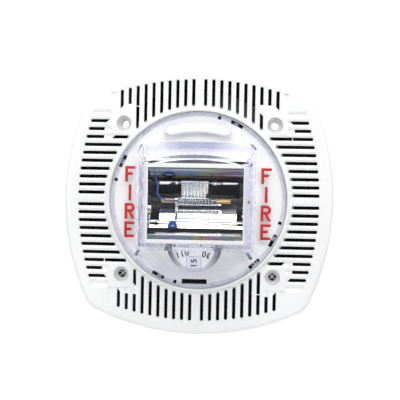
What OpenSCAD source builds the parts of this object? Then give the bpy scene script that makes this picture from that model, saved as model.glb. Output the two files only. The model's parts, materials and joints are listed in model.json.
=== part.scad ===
/* [Grille plate] */
// Width across the middles of the bowed sides
plate_w = 173; // [160:1:208]
// Radius of each bowed side
side_bow_r = 155; // [140:1:190]
// How far the blunt corners are cut back
corner_cut = 1; // [0.4:0.1:2]
// Depth from the wall to the front face
plate_d = 13; // [12:0.5:16]
// Thickness of the front skin
skin_t = 2.4; // [2:0.1:3]
// Thickness of the rim
rim_t = 2.2; // [1.6:0.1:3]
// Radius of the front edge
edge_r = 3; // [1:0.5:4]

/* [Sound slots] */
// Width of one slot
slot_w = 2.15; // [1.5:0.05:2.6]
// Distance from slot to slot
slot_pitch = 5.14; // [4.8:0.01:5.3]
// Distance between the two middle slots of a side
slot_gap = 7.68; // [7.2:0.01:8.5]
// Slots on each half of a side
slot_count = 10; // [8:1:10]
// How far the middle slots reach from the centre
slot_reach = 77.7; // [74:0.1:79]
// Radius of the line that the outer ends follow
slot_arc_r = 171; // [150:1:190]
// Gap between the collar and the slots
slot_collar_gap = 1.4; // [0.8:0.1:3]
// Depth of the bevel beside each slot
bevel_d = 0.4; // [0.2:0.05:0.6]
// Width of the flat crest left on each rib
crest_w = 0.3; // [0.2:0.05:0.8]

/* [Wall screws] */
// Distance between the wall screw holes, both ways
screw_pitch = 97.3; // [94:0.1:100]
// Diameter of the screw holes
screw_hole_d = 5.2; // [4:0.1:6]
// Diameter of the recess for the screw head
screw_recess_d = 9.9; // [8.5:0.1:11]
// Depth of the recess for the screw head
screw_recess_h = 4.5; // [3:0.1:6]
// Wall around the recess
screw_boss_wall = 1.9; // [1.5:0.1:2.4]

/* [Lens] */
// Radius of the round opening for the lens
well_r = 57; // [50:0.1:58]
// Width of the collar around the lens
collar_w = 1.9; // [1.5:0.1:2.5]
// Height of the collar above the front face
collar_h = 1.2; // [0.8:0.1:2]
// Thickness of the lens
lens_t = 2.2; // [1.8:0.1:3]
// Width of the lens box
lens_box_w = 74; // [70:0.5:78]
// Height of the lens box above its centre
lens_box_up = 37; // [34:0.5:39]
// Height of the lens box below its centre
lens_box_down = 31.5; // [30:0.5:33]
// How far the lens box stands out from the plate
lens_box_d = 25; // [23:0.5:30]
// Radius of the lens box corners
lens_box_r = 3; // [2:0.5:5]

/* [Flash] */
// Width of the reflector's mouth
mouth_w = 58.6; // [52:0.1:60]
// Height of the reflector's mouth above the lens's centre
mouth_up = 21.4; // [19:0.1:21.6]
// Height of the reflector's mouth below the lens's centre
mouth_down = 25.8; // [22:0.1:27]
// Depth of the reflector
mirror_d = 16.5; // [14:0.1:18]
// Diameter of the flash tube
tube_d = 3.4; // [2.6:0.1:4]
// Length of the flash tube's glass
tube_len = 26; // [20:0.5:32]

/* [Candela dial] */
// Diameter of the dial
dial_d = 24; // [20:0.5:24]
// Radius at which its numbers sit
dial_number_r = 8.2; // [6:0.1:9]
// Diameter of its spindle
dial_spindle_d = 5; // [3:0.1:6]

/* [Loudspeaker] */
// Radius of the steel flange
flange_r = 71.5; // [66:0.5:74]
// Radius of the paper cone
cone_r = 37.5; // [34:0.5:39]
// Depth of the paper cone
cone_d = 13.6; // [12:0.1:16]
// Thickness of the paper cone
cone_t = 0.7; // [0.5:0.1:1.2]
// How far the cone moves each way
cone_travel = 1.5; // [1:0.1:2]
// Inner diameter of the voice coil
coil_d = 25; // [20:0.5:26]
// Radius of the ring magnet
magnet_r = 26; // [22:0.5:27]
// Thickness of the ring magnet
magnet_t = 9; // [7:0.5:10]
// Thickness of the steel sheet
steel_t = 1.2; // [0.8:0.1:1.6]

/* [Rear board] */
// Width of the tap board
tap_board_w = 84; // [80:1:90]
// Height of the tap board
tap_board_h = 50; // [48:1:60]
// Travel of the voltage slider
slider_travel = 2.5; // [2:0.1:3]

/* [Clearances] */
// Clearance around a turning spindle
running_c = 0.05; // [0.02:0.01:0.1]
// Clearance of a screw in its hole
screw_c = 0.05; // [0.02:0.01:0.2]
// Clearance of parts that are laid in
fit_c = 0.3; // [0.2:0.05:0.5]

/* [Hidden] */
$fn = 96;
eps = 0.01;

// The plate's outline: four bowed sides, cut by a disc to blunt the corners where they meet
bow_c = side_bow_r - plate_w / 2;
corner_reach = (sqrt(2 * side_bow_r ^ 2 - bow_c ^ 2) - bow_c) / sqrt(2) - corner_cut;

// Levels, counted out from the wall
skin_z = plate_d - skin_t;
lens_top_z = plate_d + 0.2;
lens_z = lens_top_z - lens_t;
carrier_t = 2.4;
carrier_z = lens_z - carrier_t;
flange_ring_t = 2;
flange_ring_z = carrier_z - 2.8;
flange_ring_top = flange_ring_z + flange_ring_t;
cover_t = 1;
cover_z = carrier_z - 5;
board_t = 1.6;
board_z = cover_z + cover_t + 0.8;
board_top = board_z + board_t;
cone_gap = 0.5;
cone_edge_z = cover_z - cone_gap - cone_travel;
basket_top = cone_edge_z + 0.2;
basket_z = basket_top - steel_t;
box_front_z = plate_d + lens_box_d;

// Radii around the lens
collar_r = well_r + collar_w;
lens_r = well_r - 0.4;
carrier_r = well_r - fit_c;
carrier_skirt_t = 0.8;
flange_ring_r = collar_r + 2.8;
frame_screw_at = collar_r + 2.9;
frame_boss_r = 2.6;
frame_screw_r = 1.2;
window_out = carrier_r - carrier_skirt_t - 0.1;
window_in = window_out - 2.4;
rim_step_r = lens_r - 2.8;
rim_step_h = 0.8;
screen_t = 0.5;

// Slots
slot_inner_r = collar_r + slot_collar_gap;
last_slot = slot_count - 1;
screw_at = screw_pitch / 2;
screw_boss_r = screw_recess_d / 2 + screw_boss_wall;
retainer_t = 0.6;
retainer_z = 4;
retainer_gap = 0.2;
retainer_half = screw_hole_d;
retainer_reach = screw_boss_r + 0.8;
retainer_lip_w = 4.8;
retainer_lip_h = 2;
retainer_slit = 0.25;
bridge_in = screw_at + screw_boss_r + 1;
bridge_out = bridge_in + 4.9;
square_cut = bridge_in + 4.6;
chamfer_cut = bridge_in + 1.4;
nick_at = bridge_in + 3.1;
nick_w = 0.4;
channel_from = bridge_in + 0.6;
function slot_x(n) = slot_gap / 2 + n * slot_pitch;
function slot_out(n) = sqrt(slot_arc_r ^ 2 - slot_x(n) ^ 2) - (slot_arc_r - slot_reach);
function slot_in(n) = sqrt(slot_inner_r ^ 2 - slot_x(n) ^ 2);

// Bayonet windows in the carrier, clockwise from the top
hook_angles = [26.4, 117.5, 207, 296.4];
stop_angles = [13.8, 104.7, 194.7, 283];
lead_angle = 137.6;
hook_window_w = 8.4;
stop_window_w = 2;
hook_w = 2.6;
hook_at = hook_window_w / 2 - hook_w - 0.3;
hook_t = 1.4;

// Lens box: its top slopes back as a cone about a far centre
brow_r = 111;
brow_up = 25.5;
brow_slope = 0.55;
box_wall = lens_t;
box_in_w = lens_box_w / 2 - box_wall;

// Lens furniture
pane_w = 9.4;
pane_h = 9.7;
pane_up = 0.8;
dial_x = -1.6;
dial_y = -32.6;
pane_y = dial_y - dial_number_r;
release_x = -1.4;
release_y = 4.1 - lens_r;
release_w = 14.7;
release_h = 2.2;
release_frame_w = 19.5;
release_frame_h = 6.4;
ink_t = 0.3;
letter_h = 10.1;
letter_w = 6.6;
letter_pitch = 11.9;
letter_line = 1.75;
legend_x = lens_box_w / 2 + (rim_step_r - lens_box_w / 2) * 0.40;
legend_y = -1.9;
label_r = 46.2;
label_w = 4.5;
label_a = 25;

// Reflector and tube
mouth_front_z = box_front_z - box_wall - 1.2;
mirror_z = mouth_front_z - mirror_d;
mirror_t = 1.6;
mirror_end_t = 1.1;
mouth_h = mouth_up + mouth_down;
mouth_y = (mouth_up - mouth_down) / 2;
turret_t = 1.4;
turret_z = mirror_z - mirror_t;
turret_w = mouth_w + 2 * mirror_end_t;
well_w = 44;
well_up = 20;
well_down = 16;
tube_y = -0.8;
tube_z = mirror_z + 9.5;
tube_r = tube_d / 2;
electrode_r = 0.8;
sleeve_r = tube_r + 0.6;
sleeve_len = 6;
grommet_r = 3.2;
trigger_turns = 11;
trigger_wire_r = 0.15;
band_w = 1.2;
blue_r = 0.5;
blue_tube_z = 27;

// The mirror's profile: height and depth from its middle
mirror_line = [[mouth_up, mirror_d], [18.7, 12], [12, 4], [2, 0], [-4.2, 0], [-8.2, 2.5],
               [-13.5, 6.5], [-18, 10], [-mouth_down, mirror_d]];

// Candela dial
dial_r = dial_d / 2;
dial_t = 1.05;
recess_r = dial_r + 5.9;
recess_y = dial_y + 3.9;
recess_d = 1.6;
recess_floor_t = carrier_t - recess_d;
dial_z = lens_z - recess_d + 0.1;
dial_step = 72;
spindle_r = dial_spindle_d / 2;
switch_w = 11;
switch_z = board_top;
switch_t = carrier_z - board_top - 0.1;

// Digits in a box 1 wide and 2 high, as the bars of a plain numeral
bars = [[0, 0, 1, 0], [1, 0, 1, 1], [1, 1, 1, 2], [0, 2, 1, 2], [0, 1, 0, 2], [0, 0, 0, 1],
        [0, 1, 1, 1]];
digit_bars = [[0, 1, 2, 3, 4, 5], [1, 2], [0, 2, 3, 5, 6], [0, 1, 2, 3, 6], [1, 2, 4, 6],
              [0, 1, 3, 4, 6], [0, 1, 3, 4, 5, 6], [1, 2, 3]];
settings = [[1, 5], [3, 0], [6, 0], [7, 5], [1, 1, 0]];
digit_size = 1.8;
digit_line = 0.45;
digit_step = 2.7;
digit_t = 0.12;

// Strobe board and cover: a disc with a tongue under the dial
board_r = 32.5;
cover_r = board_r + fit_c + 1.2;
tongue_w = 18;
tongue_down = -dial_y + switch_w / 2 + 1.5;
tongue_x = dial_x;
cover_screw_x = 26.6;
cover_screw_y = 13;
cover_screw_r = 1;
cover_post_r = 2.4;
storage_x = -16;
storage_y = 14;
storage_d = 10;
storage_len = 26;
trigger_at = [-17, -6];
trigger_size = [8, 9, 7];
inductor_at = [-4, -8];
inductor_r = 5;
inductor_h = 8;
chips = [[8, -4, 8, 6, 1.6], [8, -14, 5, 4, 1.4], [-26, 4, 1.6, 3, 1], [-22.8, 4, 1.6, 3, 1],
         [-19.6, 4, 1.6, 3, 1], [-16.4, 4, 1.6, 3, 1]];
transistor_at = [17, -2];
transistor_size = [6.5, 10, 2.3];

// Loudspeaker, counted back from its flange
surround_w = 6.5;
surround_t = 0.5;
roll_r = surround_w / 2;
lip_w = 3;
basket_r = cone_r + surround_w + lip_w;
basket_foot_r = magnet_r + 2;
basket_foot_z = cone_edge_z - cone_d - 4.2;
neck_r = coil_d / 2 + 0.3;
former_t = 0.3;
coil_t = 0.4;
cap_r = neck_r + 1.4;
coil_r = coil_d / 2 + former_t;
gap_c = 0.4;
hole_r = coil_r + coil_t + gap_c;
pole_r = coil_d / 2 - gap_c;
grommet_at = 55.2;
cable_hole_r = 3.4;
spider_z = cone_edge_z - cone_d - 1.2;
spider_t = 0.5;
tinsel_from = 22;
tinsel_r = 0.45;
tag_angle = 30;
tag_at = basket_foot_r + 9;
tag_z = spider_z + 2.2;
tag_x = 4;
tag_len = 3.4;
tag_strip_w = 19;
tag_strip_t = 1.6;
tag_down = 3;
window_w = 14;
window_step = 60;
function basket_under(r) =
  basket_foot_z + (r - basket_foot_r - steel_t) * (basket_z - basket_foot_z)
  / (basket_r - basket_foot_r - steel_t);
function cone_under(r) =
  cone_edge_z - cone_d + 1 - cone_t
  + (r - neck_r - 1) * (cone_d - 1) / (cone_r - 1.4 - neck_r - 1);
spider_r = magnet_r - 2;
top_plate_t = 3.5;
top_plate_r = magnet_r - 1.5;
top_plate_z = basket_foot_z - top_plate_t;
magnet_z = top_plate_z - magnet_t;
magnet_hole_r = hole_r + 2.2;
yoke_t = 3.5;
yoke_z = magnet_z - yoke_t;
coil_len = 7;
coil_z = top_plate_z + top_plate_t / 2 - coil_len / 2;
former_z = coil_z - 0.3;

// Rear bracket, transformer and tap board
bracket_z = yoke_z - steel_t;
core_w = 17;
core_h = 22;
core_d = 15;
core_x = magnet_r + 1.5;
bracket_left = 30;
bracket_right = core_x + core_w + 1;
bracket_h = 36;
standoff_len = 3;
standoff_r = 2.2;
standoff_x = 24;
standoff_y = 12;
tap_z = bracket_z - standoff_len - board_t;
board_screw_r = 1.2;
yoke_screw_r = 2;
yoke_screw_head_r = 3.6;
rotary_w = 12;
rotary_t = 5;
rotary_x = -34;
rotary_y = 8;
knob_r = 4;
knob_t = 3.4;
knob_spindle_r = 2.4;
toggle_w = 12;
toggle_h = 5.5;
toggle_t = 4;
toggle_x = 4;
toggle_y = 16;
slider_w = 2.6;
slider_h = 2;
slider_out = 2;
block_w = 30.5;
block_h = 9;
block_t = 10.5;
block_x = 20;
block_y = -20;
block_ways = 6;
block_pitch = 5.08;
dc_cap_at = [34, 6];
dc_cap_r = 4;
dc_cap_len = 11;
resistor_at = [-36, -14];
resistor_r = 1.2;
resistor_len = 6.5;
resistor_step = 5;

// Leads: their routes are round numbers, in x, y and height from the wall
lead_r = 0.6;
lead_side = lead_r + 0.25;
lead_route = [[18.6, -20.4, 7.75], [22, -24.1, 7.75], [25.5, -27.9, 7.4], [29.5, -32.3, 6.6],
              [33.4, -36.6, 6.2], [36, -39.4, 4.6], [37, -40.6, 2.4], [37.1, -40.7, -1],
              [36.8, -40.3, -5], [35.4, -38, -13], [33.6, -34.6, -21], [32.2, -30, -28],
              [31.4, -25.6, -33], [31, -23.4, -35.8]];
blue_route = [[-26, 16.4, 28.6], [-25.6, 15.2, 30], [-24.8, 12.6, 30.8], [-23.4, 9, 31],
              [-23.8, 5.4, 31], [-23.4, 2.6, 30.8], [-20.4, 0.2, 30.4], [-16.4, -0.7, 29.8],
              [-12.9, -0.8, 29.3]];

// Turns a part drawn with Z out of the wall so that its front faces -Y and its top +Z
module facing_out() {
  rotate([90, 0, 0])
    children();
}

// Places children at an angle counted clockwise from the top, at a distance
module clock_at(angle, distance) {
  rotate([0, 0, -angle])
    translate([0, distance, 0])
      children();
}

module ring(r_out, r_in, z0, z1) {
  translate([0, 0, z0])
    difference() {
      cylinder(r = r_out, h = z1 - z0);
      translate([0, 0, -1])
        cylinder(r = r_in, h = z1 - z0 + 2);
    }
}

module bar(x0, x1, y0, y1, z0, z1) {
  translate([x0, y0, z0])
    cube([x1 - x0, y1 - y0, z1 - z0]);
}

module rounded_bar(w, h, r, z0, z1) {
  translate([0, 0, z0])
    linear_extrude(z1 - z0) {
      square([w - 2 * r, h], center = true);
      square([w, h - 2 * r], center = true);
      for (x = [-1, 1], y = [-1, 1])
        translate([x * (w / 2 - r), y * (h / 2 - r)])
          circle(r);
    }
}

// A pan-head screw that points to +Z, its head below z
module pan_screw(r, head_r, head_t, z, len) {
  difference() {
    union() {
      translate([0, 0, z - head_t])
        cylinder(r = head_r, h = head_t);
      translate([0, 0, z - eps])
        cylinder(r = r, h = len + eps);
    }
    for (a = [0, 90])
      rotate([0, 0, a])
        bar(-head_r * 0.6, head_r * 0.6, -0.3, 0.3, z - head_t - 1, z - head_t * 0.45);
  }
}

// A round wire through a list of points
function unit(v) = v / norm(v);
function heading(p, i) = unit(p[min(i + 1, len(p) - 1)] - p[max(i - 1, 0)]);
function side_of(d) = unit(cross(d, abs(d[0]) > 0.9 ? [0, 1, 0] : [1, 0, 0]));
function carried(p, i) =
  i == 0 ? side_of(heading(p, 0))
         : let (d = heading(p, i), s = carried(p, i - 1)) unit(s - d * (s * d));
function bend(p, i, t) =
  let (a = p[max(i - 1, 0)], b = p[i], c = p[i + 1], d = p[min(i + 2, len(p) - 1)])
  0.5 * (2 * b + (c - a) * t + (2 * a - 5 * b + 4 * c - d) * t ^ 2
         + (3 * b - a - 3 * c + d) * t ^ 3);
function smooth_route(p, steps) =
  [for (i = [0:len(p) - 2], k = [0:steps - 1]) bend(p, i, k / steps), p[len(p) - 1]];

module wire(points, r, sides = 8, steps = 3) {
  p = smooth_route(points, steps);
  n = len(p);
  rings = [for (i = [0:n - 1])
             let (d = heading(p, i), s = carried(p, i), u = cross(d, s))
             [for (k = [0:sides - 1])
                p[i] + r * (cos(360 * k / sides) * s + sin(360 * k / sides) * u)]];
  polyhedron(
    points = [for (loop = rings) for (q = loop) q],
    faces = concat(
      [[for (k = [0:sides - 1]) k]],
      [for (i = [0:n - 2], k = [0:sides - 1])
         let (j = (k + 1) % sides)
         [i * sides + k, (i + 1) * sides + k, (i + 1) * sides + j, i * sides + j]],
      [[for (k = [sides - 1:-1:0]) (n - 1) * sides + k]]));
}

// A disc whose front edge is rounded
module round_disc(r, z0, z1, edge) {
  h = z1 - z0;
  translate([0, 0, z0])
    rotate_extrude($fn = 200) {
      square([r - edge, h]);
      square([r, h - edge]);
      if (edge > 0)
        translate([r - edge, h - edge])
          circle(edge, $fn = 48);
    }
}

// The plate's outline, drawn in by inset, between two levels
module bowed_solid(inset, z0, z1, edge) {
  side_r = side_bow_r - inset;
  intersection() {
    for_side(0)
      round_disc(side_r, z0, z1, edge);
    for_side(1)
      round_disc(side_r, z0, z1, edge);
    for_side(2)
      round_disc(side_r, z0, z1, edge);
    for_side(3)
      round_disc(side_r, z0, z1, edge);
    round_disc(corner_reach - inset, z0, z1, edge);
  }
}

// One stretch of slot. A round end is half a circle; a lean cuts one side of a square end short.
module slot_run(y0, y1, round_in, round_out, lean_in, lean_out) {
  w = slot_w / 2;
  a = round_in ? y0 + w : y0;
  b = round_out ? y1 - w : y1;
  polygon([[-w, a + (lean_in ? slot_w : 0)], [w, a], [w, b - (lean_out ? slot_w : 0)], [-w, b]]);
  if (round_in)
    translate([0, a])
      circle(w, $fn = 24);
  if (round_out)
    translate([0, b])
      circle(w, $fn = 24);
}

// The slots of half a side, from its middle outwards
module half_side_slots(bridged) {
  for (n = [0:last_slot])
    translate([slot_x(n), 0])
      if (n == last_slot) {
        slot_run(chamfer_cut, slot_out(n), false, true, true, false);
      } else if (n == last_slot - 1) {
        slot_run(square_cut, slot_out(n), false, true, false, false);
      } else if (n == last_slot - 2) {
        slot_run(slot_in(n), bridged ? bridge_in : nick_at, true, false, false, bridged);
        slot_run(bridged ? bridge_out : nick_at + nick_w, slot_out(n), false, true, false, false);
      } else {
        slot_run(slot_in(n), slot_out(n), true, true, false, false);
      }
}

module all_slots() {
  for (a = [0:90:270])
    rotate(a) {
      half_side_slots(true);
      mirror([1, 0])
        half_side_slots(false);
    }
}

// The bevels beside the slots: shallow V channels that leave a crest on each rib
module channel(y0, y1) {
  half = (slot_pitch - crest_w) / 2;
  apex = bevel_d * half / (half - slot_w / 2);
  translate([0, y1, plate_d])
    rotate([90, 0, 0])
      linear_extrude(y1 - y0)
        polygon([[-half, 0], [-half, 1], [half, 1], [half, 0], [0, -apex]]);
}

module half_side_channels() {
  for (n = [0:slot_count])
    translate([slot_x(n), 0, 0])
      channel(n > last_slot - 2 ? channel_from : slot_in(n), slot_out(n));
}

module at_wall_screws() {
  for (x = [-1, 1], y = [-1, 1])
    translate([x * screw_at, y * screw_at, 0])
      children();
}

module at_retainers() {
  for (x = [-1, 1])
    translate([x * screw_at, -screw_at, 0])
      children();
}

module for_side(i) {
  rotate([0, 0, 90 * i])
    translate([bow_c, 0, 0])
      children();
}

module at_frame_screws() {
  for (a = [0:90:270])
    clock_at(a, frame_screw_at)
      children();
}

// The white louvred plate, with its collar, screw bosses and slots
module grille_plate() {
  color("white")
    facing_out()
      difference() {
        union() {
          difference() {
            bowed_solid(0, 0, plate_d, edge_r);
            bowed_solid(rim_t, -1, skin_z, 0);
          }
          ring(collar_r, well_r, flange_ring_top + 0.1, plate_d + collar_h - collar_w / 2);
          translate([0, 0, plate_d + collar_h - collar_w / 2])
            rotate_extrude()
              translate([well_r + collar_w / 2, 0])
                circle(collar_w / 2, $fn = 24);
          at_wall_screws()
            cylinder(r = screw_boss_r, h = skin_z + eps);
          at_frame_screws()
            translate([0, 0, flange_ring_top])
              cylinder(r = frame_boss_r, h = skin_z - flange_ring_top + eps);
        }
        translate([0, 0, -1])
          cylinder(r = well_r, h = plate_d + 5);
        translate([0, 0, skin_z - 1])
          linear_extrude(skin_t + 2)
            all_slots();
        for (a = [0:90:270])
          rotate([0, 0, a]) {
            half_side_channels();
            mirror([1, 0, 0])
              half_side_channels();
          }
        at_wall_screws() {
          translate([0, 0, -1])
            cylinder(d = screw_hole_d, h = plate_d + 2);
          translate([0, 0, plate_d - screw_recess_h])
            cylinder(d = screw_recess_d, h = screw_recess_h + 1);
        }
        at_retainers()
          bar(-retainer_half - retainer_gap, retainer_half + retainer_gap,
              -retainer_reach, retainer_reach, retainer_z,
              retainer_z + retainer_t + retainer_gap);
        at_frame_screws()
          translate([0, 0, flange_ring_top - 1])
            cylinder(r = frame_screw_r + screw_c, h = 1 + plate_d - flange_ring_top - 1.2);
      }
}

// The black cloth behind the outer ends of the slots, from the loudspeaker's flange to the rim
module dust_screen() {
  z = skin_z - screen_t;
  side_r = side_bow_r - rim_t - fit_c;
  color("black")
    facing_out()
      difference() {
        intersection() {
          for_side(0)
            translate([0, 0, z])
              cylinder(r = side_r, h = screen_t, $fn = 200);
          for_side(1)
            translate([0, 0, z])
              cylinder(r = side_r, h = screen_t, $fn = 200);
          for_side(2)
            translate([0, 0, z])
              cylinder(r = side_r, h = screen_t, $fn = 200);
          for_side(3)
            translate([0, 0, z])
              cylinder(r = side_r, h = screen_t, $fn = 200);
          translate([0, 0, z])
            cylinder(r = corner_reach - rim_t - fit_c, h = screen_t, $fn = 200);
        }
        translate([0, 0, z - 1])
          cylinder(r = flange_r + fit_c, h = screen_t + 2, $fn = 200);
        at_wall_screws()
          translate([0, 0, z - 1])
            cylinder(r = screw_boss_r + fit_c, h = screen_t + 2);
      }
}

// Spring-steel retainers in the two lower wall screw bosses, slit where the screw goes through
module screw_retainers() {
  z = retainer_z;
  color("slategray")
    facing_out()
      at_retainers()
        difference() {
          union() {
            bar(-retainer_half, retainer_half, -retainer_reach, retainer_reach, z,
                z + retainer_t);
            for (y = [-retainer_reach - retainer_t, retainer_reach])
              bar(-retainer_lip_w / 2, retainer_lip_w / 2, y, y + retainer_t, z,
                  z + retainer_lip_h);
          }
          for (a = [45, 135])
            rotate([0, 0, a])
              bar(-retainer_half / 2, retainer_half / 2, -retainer_slit / 2,
                  retainer_slit / 2, z - 1, z + retainer_t + 1);
        }
}

// The space inside the lens box, grown by grow on every side but the back
module lens_box_solid(grow, z0, z1) {
  w = lens_box_w - 2 * box_wall + 2 * grow;
  h = lens_box_up + lens_box_down - 2 * box_wall + 2 * grow;
  r = lens_box_r - box_wall + grow;
  depth = z1 - z0;
  intersection() {
    translate([0, (lens_box_up - lens_box_down) / 2, 0])
      rounded_bar(w, h, r, z0, z1);
    translate([0, brow_up - brow_r, z0])
      cylinder(r1 = brow_r + grow + depth * brow_slope, r2 = brow_r + grow, h = depth, $fn = 200);
  }
}

module lens_hook(angle) {
  clock_at(angle, window_in + 0.5) {
    bar(hook_at, hook_at + hook_w, 0, hook_t, carrier_z - 1.4, lens_z + eps);
    bar(hook_at, hook_at + hook_w + 3.2, 0, hook_t, carrier_z - 1.4, carrier_z - 0.2);
  }
}

// The clear lens: a disc with a deep box over the flash, a pane over the dial and a release slot
module strobe_lens() {
  color([0.85, 0.86, 0.95, 0.4])
    facing_out()
      difference() {
        union() {
          ring(rim_step_r, 10, lens_z, lens_top_z);
          ring(lens_r, rim_step_r - 1, lens_z, lens_top_z - rim_step_h);
          lens_box_solid(box_wall, lens_z, box_front_z);
          translate([dial_x, pane_y, 0])
            rounded_bar(pane_w, pane_h, 1, lens_z, lens_top_z + pane_up);
          for (a = hook_angles)
            lens_hook(a);
        }
        lens_box_solid(0, lens_z - 1, box_front_z - box_wall);
        translate([release_x, release_y, 0])
          difference() {
            rounded_bar(release_frame_w, release_frame_h, 0.6, lens_top_z - 0.5, lens_top_z + 1);
            rounded_bar(release_frame_w - 1.6, release_frame_h - 1.6, 0.5, lens_z, lens_top_z + 2);
          }
        translate([release_x, release_y, 0])
          rounded_bar(release_w, release_h, 0.5, lens_z - 1, lens_top_z + 1);
      }
}

// One letter each, drawn from its lower left corner
module letter_i() {
  translate([letter_w / 2 - letter_line / 2, 0])
    square([letter_line, letter_h]);
}

module letter_stem() {
  square([letter_line, letter_h]);
}

module letter_f() {
  letter_stem();
  translate([0, letter_h - letter_line])
    square([letter_w, letter_line]);
  translate([0, letter_h / 2 - letter_line * 0.4])
    square([letter_w * 0.72, letter_line]);
}

module letter_e() {
  letter_f();
  square([letter_w, letter_line]);
}

module letter_r() {
  bowl = letter_h * 0.29;
  letter_stem();
  difference() {
    union() {
      translate([0, letter_h - 2 * bowl])
        square([letter_w - bowl, 2 * bowl]);
      translate([letter_w - bowl, letter_h - bowl])
        circle(bowl);
    }
    translate([letter_line, letter_h - 2 * bowl + letter_line])
      square([letter_w - bowl - letter_line, 2 * (bowl - letter_line)]);
    translate([letter_w - bowl, letter_h - bowl])
      circle(bowl - letter_line);
  }
  polygon([[letter_w * 0.36, letter_h - 2 * bowl + 0.2],
           [letter_w * 0.36 + letter_line * 1.1, letter_h - 2 * bowl + 0.2],
           [letter_w + 0.2, 0], [letter_w + 0.2 - letter_line * 1.15, 0]]);
}

// The word FIRE down each side of the lens, as raised red ink
module fire_legend() {
  color("firebrick")
    facing_out()
      for (s = [-1, 1])
        translate([s * legend_x - letter_w / 2, legend_y - letter_h / 2, lens_top_z])
          linear_extrude(ink_t) {
            translate([0, 1.5 * letter_pitch])
              letter_f();
            translate([0, 0.5 * letter_pitch])
              letter_i();
            translate([0, -0.5 * letter_pitch])
              letter_r();
            translate([0, -1.5 * letter_pitch])
              letter_e();
          }
}

// The blank label above the lens box: outer arc, round end, inner arc, round end
function on_clock(r, a) = [r * sin(a), r * cos(a)];
function label_end(s) =
  [for (t = [15:15:165]) on_clock(label_r, s * label_a) + label_w / 2 * [sin(s * label_a + s * t),
                                                                       cos(s * label_a + s * t)]];
function label_outline() =
  concat([for (a = [-label_a:2.5:label_a]) on_clock(label_r + label_w / 2, a)],
         label_end(1),
         [for (a = [label_a:-2.5:-label_a]) on_clock(label_r - label_w / 2, a)],
         [for (i = [10:-1:0]) label_end(-1)[i]]);

module blank_label() {
  color("whitesmoke")
    facing_out()
      translate([0, 0, lens_top_z])
        linear_extrude(ink_t)
          polygon(label_outline());
}

module board_outline(grow, z0, z1) {
  translate([0, 0, z0])
    cylinder(r = board_r + grow, h = z1 - z0);
  bar(tongue_x - tongue_w / 2 - grow, tongue_x + tongue_w / 2 + grow,
      -tongue_down - grow, 0, z0, z1);
}

module at_cover_screws() {
  for (x = [-1, 1], y = [-1, 1])
    translate([x * cover_screw_x, y * cover_screw_y, 0])
      children();
}

// The white carrier that holds reflector, board and dial, and takes the lens hooks
module strobe_carrier() {
  color("ghostwhite")
    facing_out()
      difference() {
        union() {
          translate([0, 0, carrier_z])
            cylinder(r = carrier_r, h = carrier_t);
          ring(carrier_r, carrier_r - carrier_skirt_t, flange_ring_z, lens_z);
          ring(flange_ring_r, carrier_r - carrier_skirt_t, flange_ring_z, flange_ring_top);
          at_frame_screws()
            translate([0, 0, basket_top])
              cylinder(r = frame_boss_r, h = flange_ring_top - basket_top);
          translate([0, mouth_y, 0])
            rounded_bar(turret_w + 2 * turret_t, mouth_h + 2 * turret_t, 1.5, carrier_z,
                        turret_z + 2);
          at_cover_screws()
            translate([0, 0, board_top])
              cylinder(r = cover_post_r, h = carrier_z - board_top + eps);
        }
        translate([0, mouth_y, 0]) {
          rounded_bar(turret_w + 0.2, mouth_h + 0.2, 0.6, turret_z, turret_z + 3);
          rounded_bar(turret_w - 2, mouth_h - 2, 0.6, lens_z, turret_z + 1);
        }
        bar(-well_w / 2, well_w / 2, -well_down, well_up, carrier_z - 1, lens_z + 1);
        for (a = hook_angles)
          clock_at(a, window_in)
            bar(-hook_window_w / 2, hook_window_w / 2, 0, window_out - window_in,
                carrier_z - 1, lens_z + 1);
        for (a = stop_angles)
          clock_at(a, window_in)
            bar(-stop_window_w / 2, stop_window_w / 2, 0, window_out - window_in,
                carrier_z - 1, lens_z + 1);
        clock_at(lead_angle, window_in)
          bar(-hook_window_w / 2, hook_window_w / 2, 0, window_out - window_in,
              carrier_z - 1, lens_z + 1);
        translate([release_x, release_y, 0])
          rounded_bar(release_w + 1.5, release_h + 1, 0.5, carrier_z - 1, lens_z + 1);
        intersection() {
          translate([dial_x, recess_y, lens_z - recess_d])
            cylinder(r = recess_r, h = recess_d + 1);
          bar(-recess_r - 5, recess_r + 5, -carrier_r, -mouth_down - turret_t,
              carrier_z, lens_z + 2);
        }
        translate([dial_x, dial_y, lens_z - recess_d])
          cylinder(r = dial_r + 0.4, h = recess_d + 0.5);
        translate([dial_x, dial_y, carrier_z - 1])
          cylinder(r = spindle_r + running_c, h = carrier_t + 2);
        at_cover_screws()
          translate([0, 0, board_z])
            cylinder(r = cover_screw_r + screw_c, h = carrier_z - board_z + 0.6);
        at_frame_screws()
          translate([0, 0, basket_z])
            cylinder(r = frame_screw_r + 0.2, h = plate_d);
      }
}

// The cover that closes the strobe board in from behind
module strobe_cover() {
  color("gainsboro")
    facing_out()
      difference() {
        union() {
          difference() {
            board_outline(fit_c + 1.2, cover_z, carrier_z);
            board_outline(fit_c, cover_z + cover_t, carrier_z + 1);
          }
          at_cover_screws()
            translate([0, 0, cover_z])
              cylinder(r = cover_post_r, h = board_z - cover_z);
        }
        at_cover_screws()
          translate([0, 0, cover_z - 1])
            cylinder(r = cover_screw_r + 0.2, h = 10);
        clock_at(lead_angle, cover_r - 3)
          bar(-2.6, 2.6, 0, 6, board_top - 3, carrier_z + 1);
      }
}

// A polygon in height and depth, drawn out across the width
module across(x0, x1) {
  translate([x0, 0, mirror_z])
    rotate([90, 0, 90])
      linear_extrude(x1 - x0)
        children();
}

module tube_along(x0, x1, r) {
  translate([x0, tube_y, tube_z])
    rotate([0, 90, 0])
      cylinder(r = r, h = x1 - x0);
}

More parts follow.
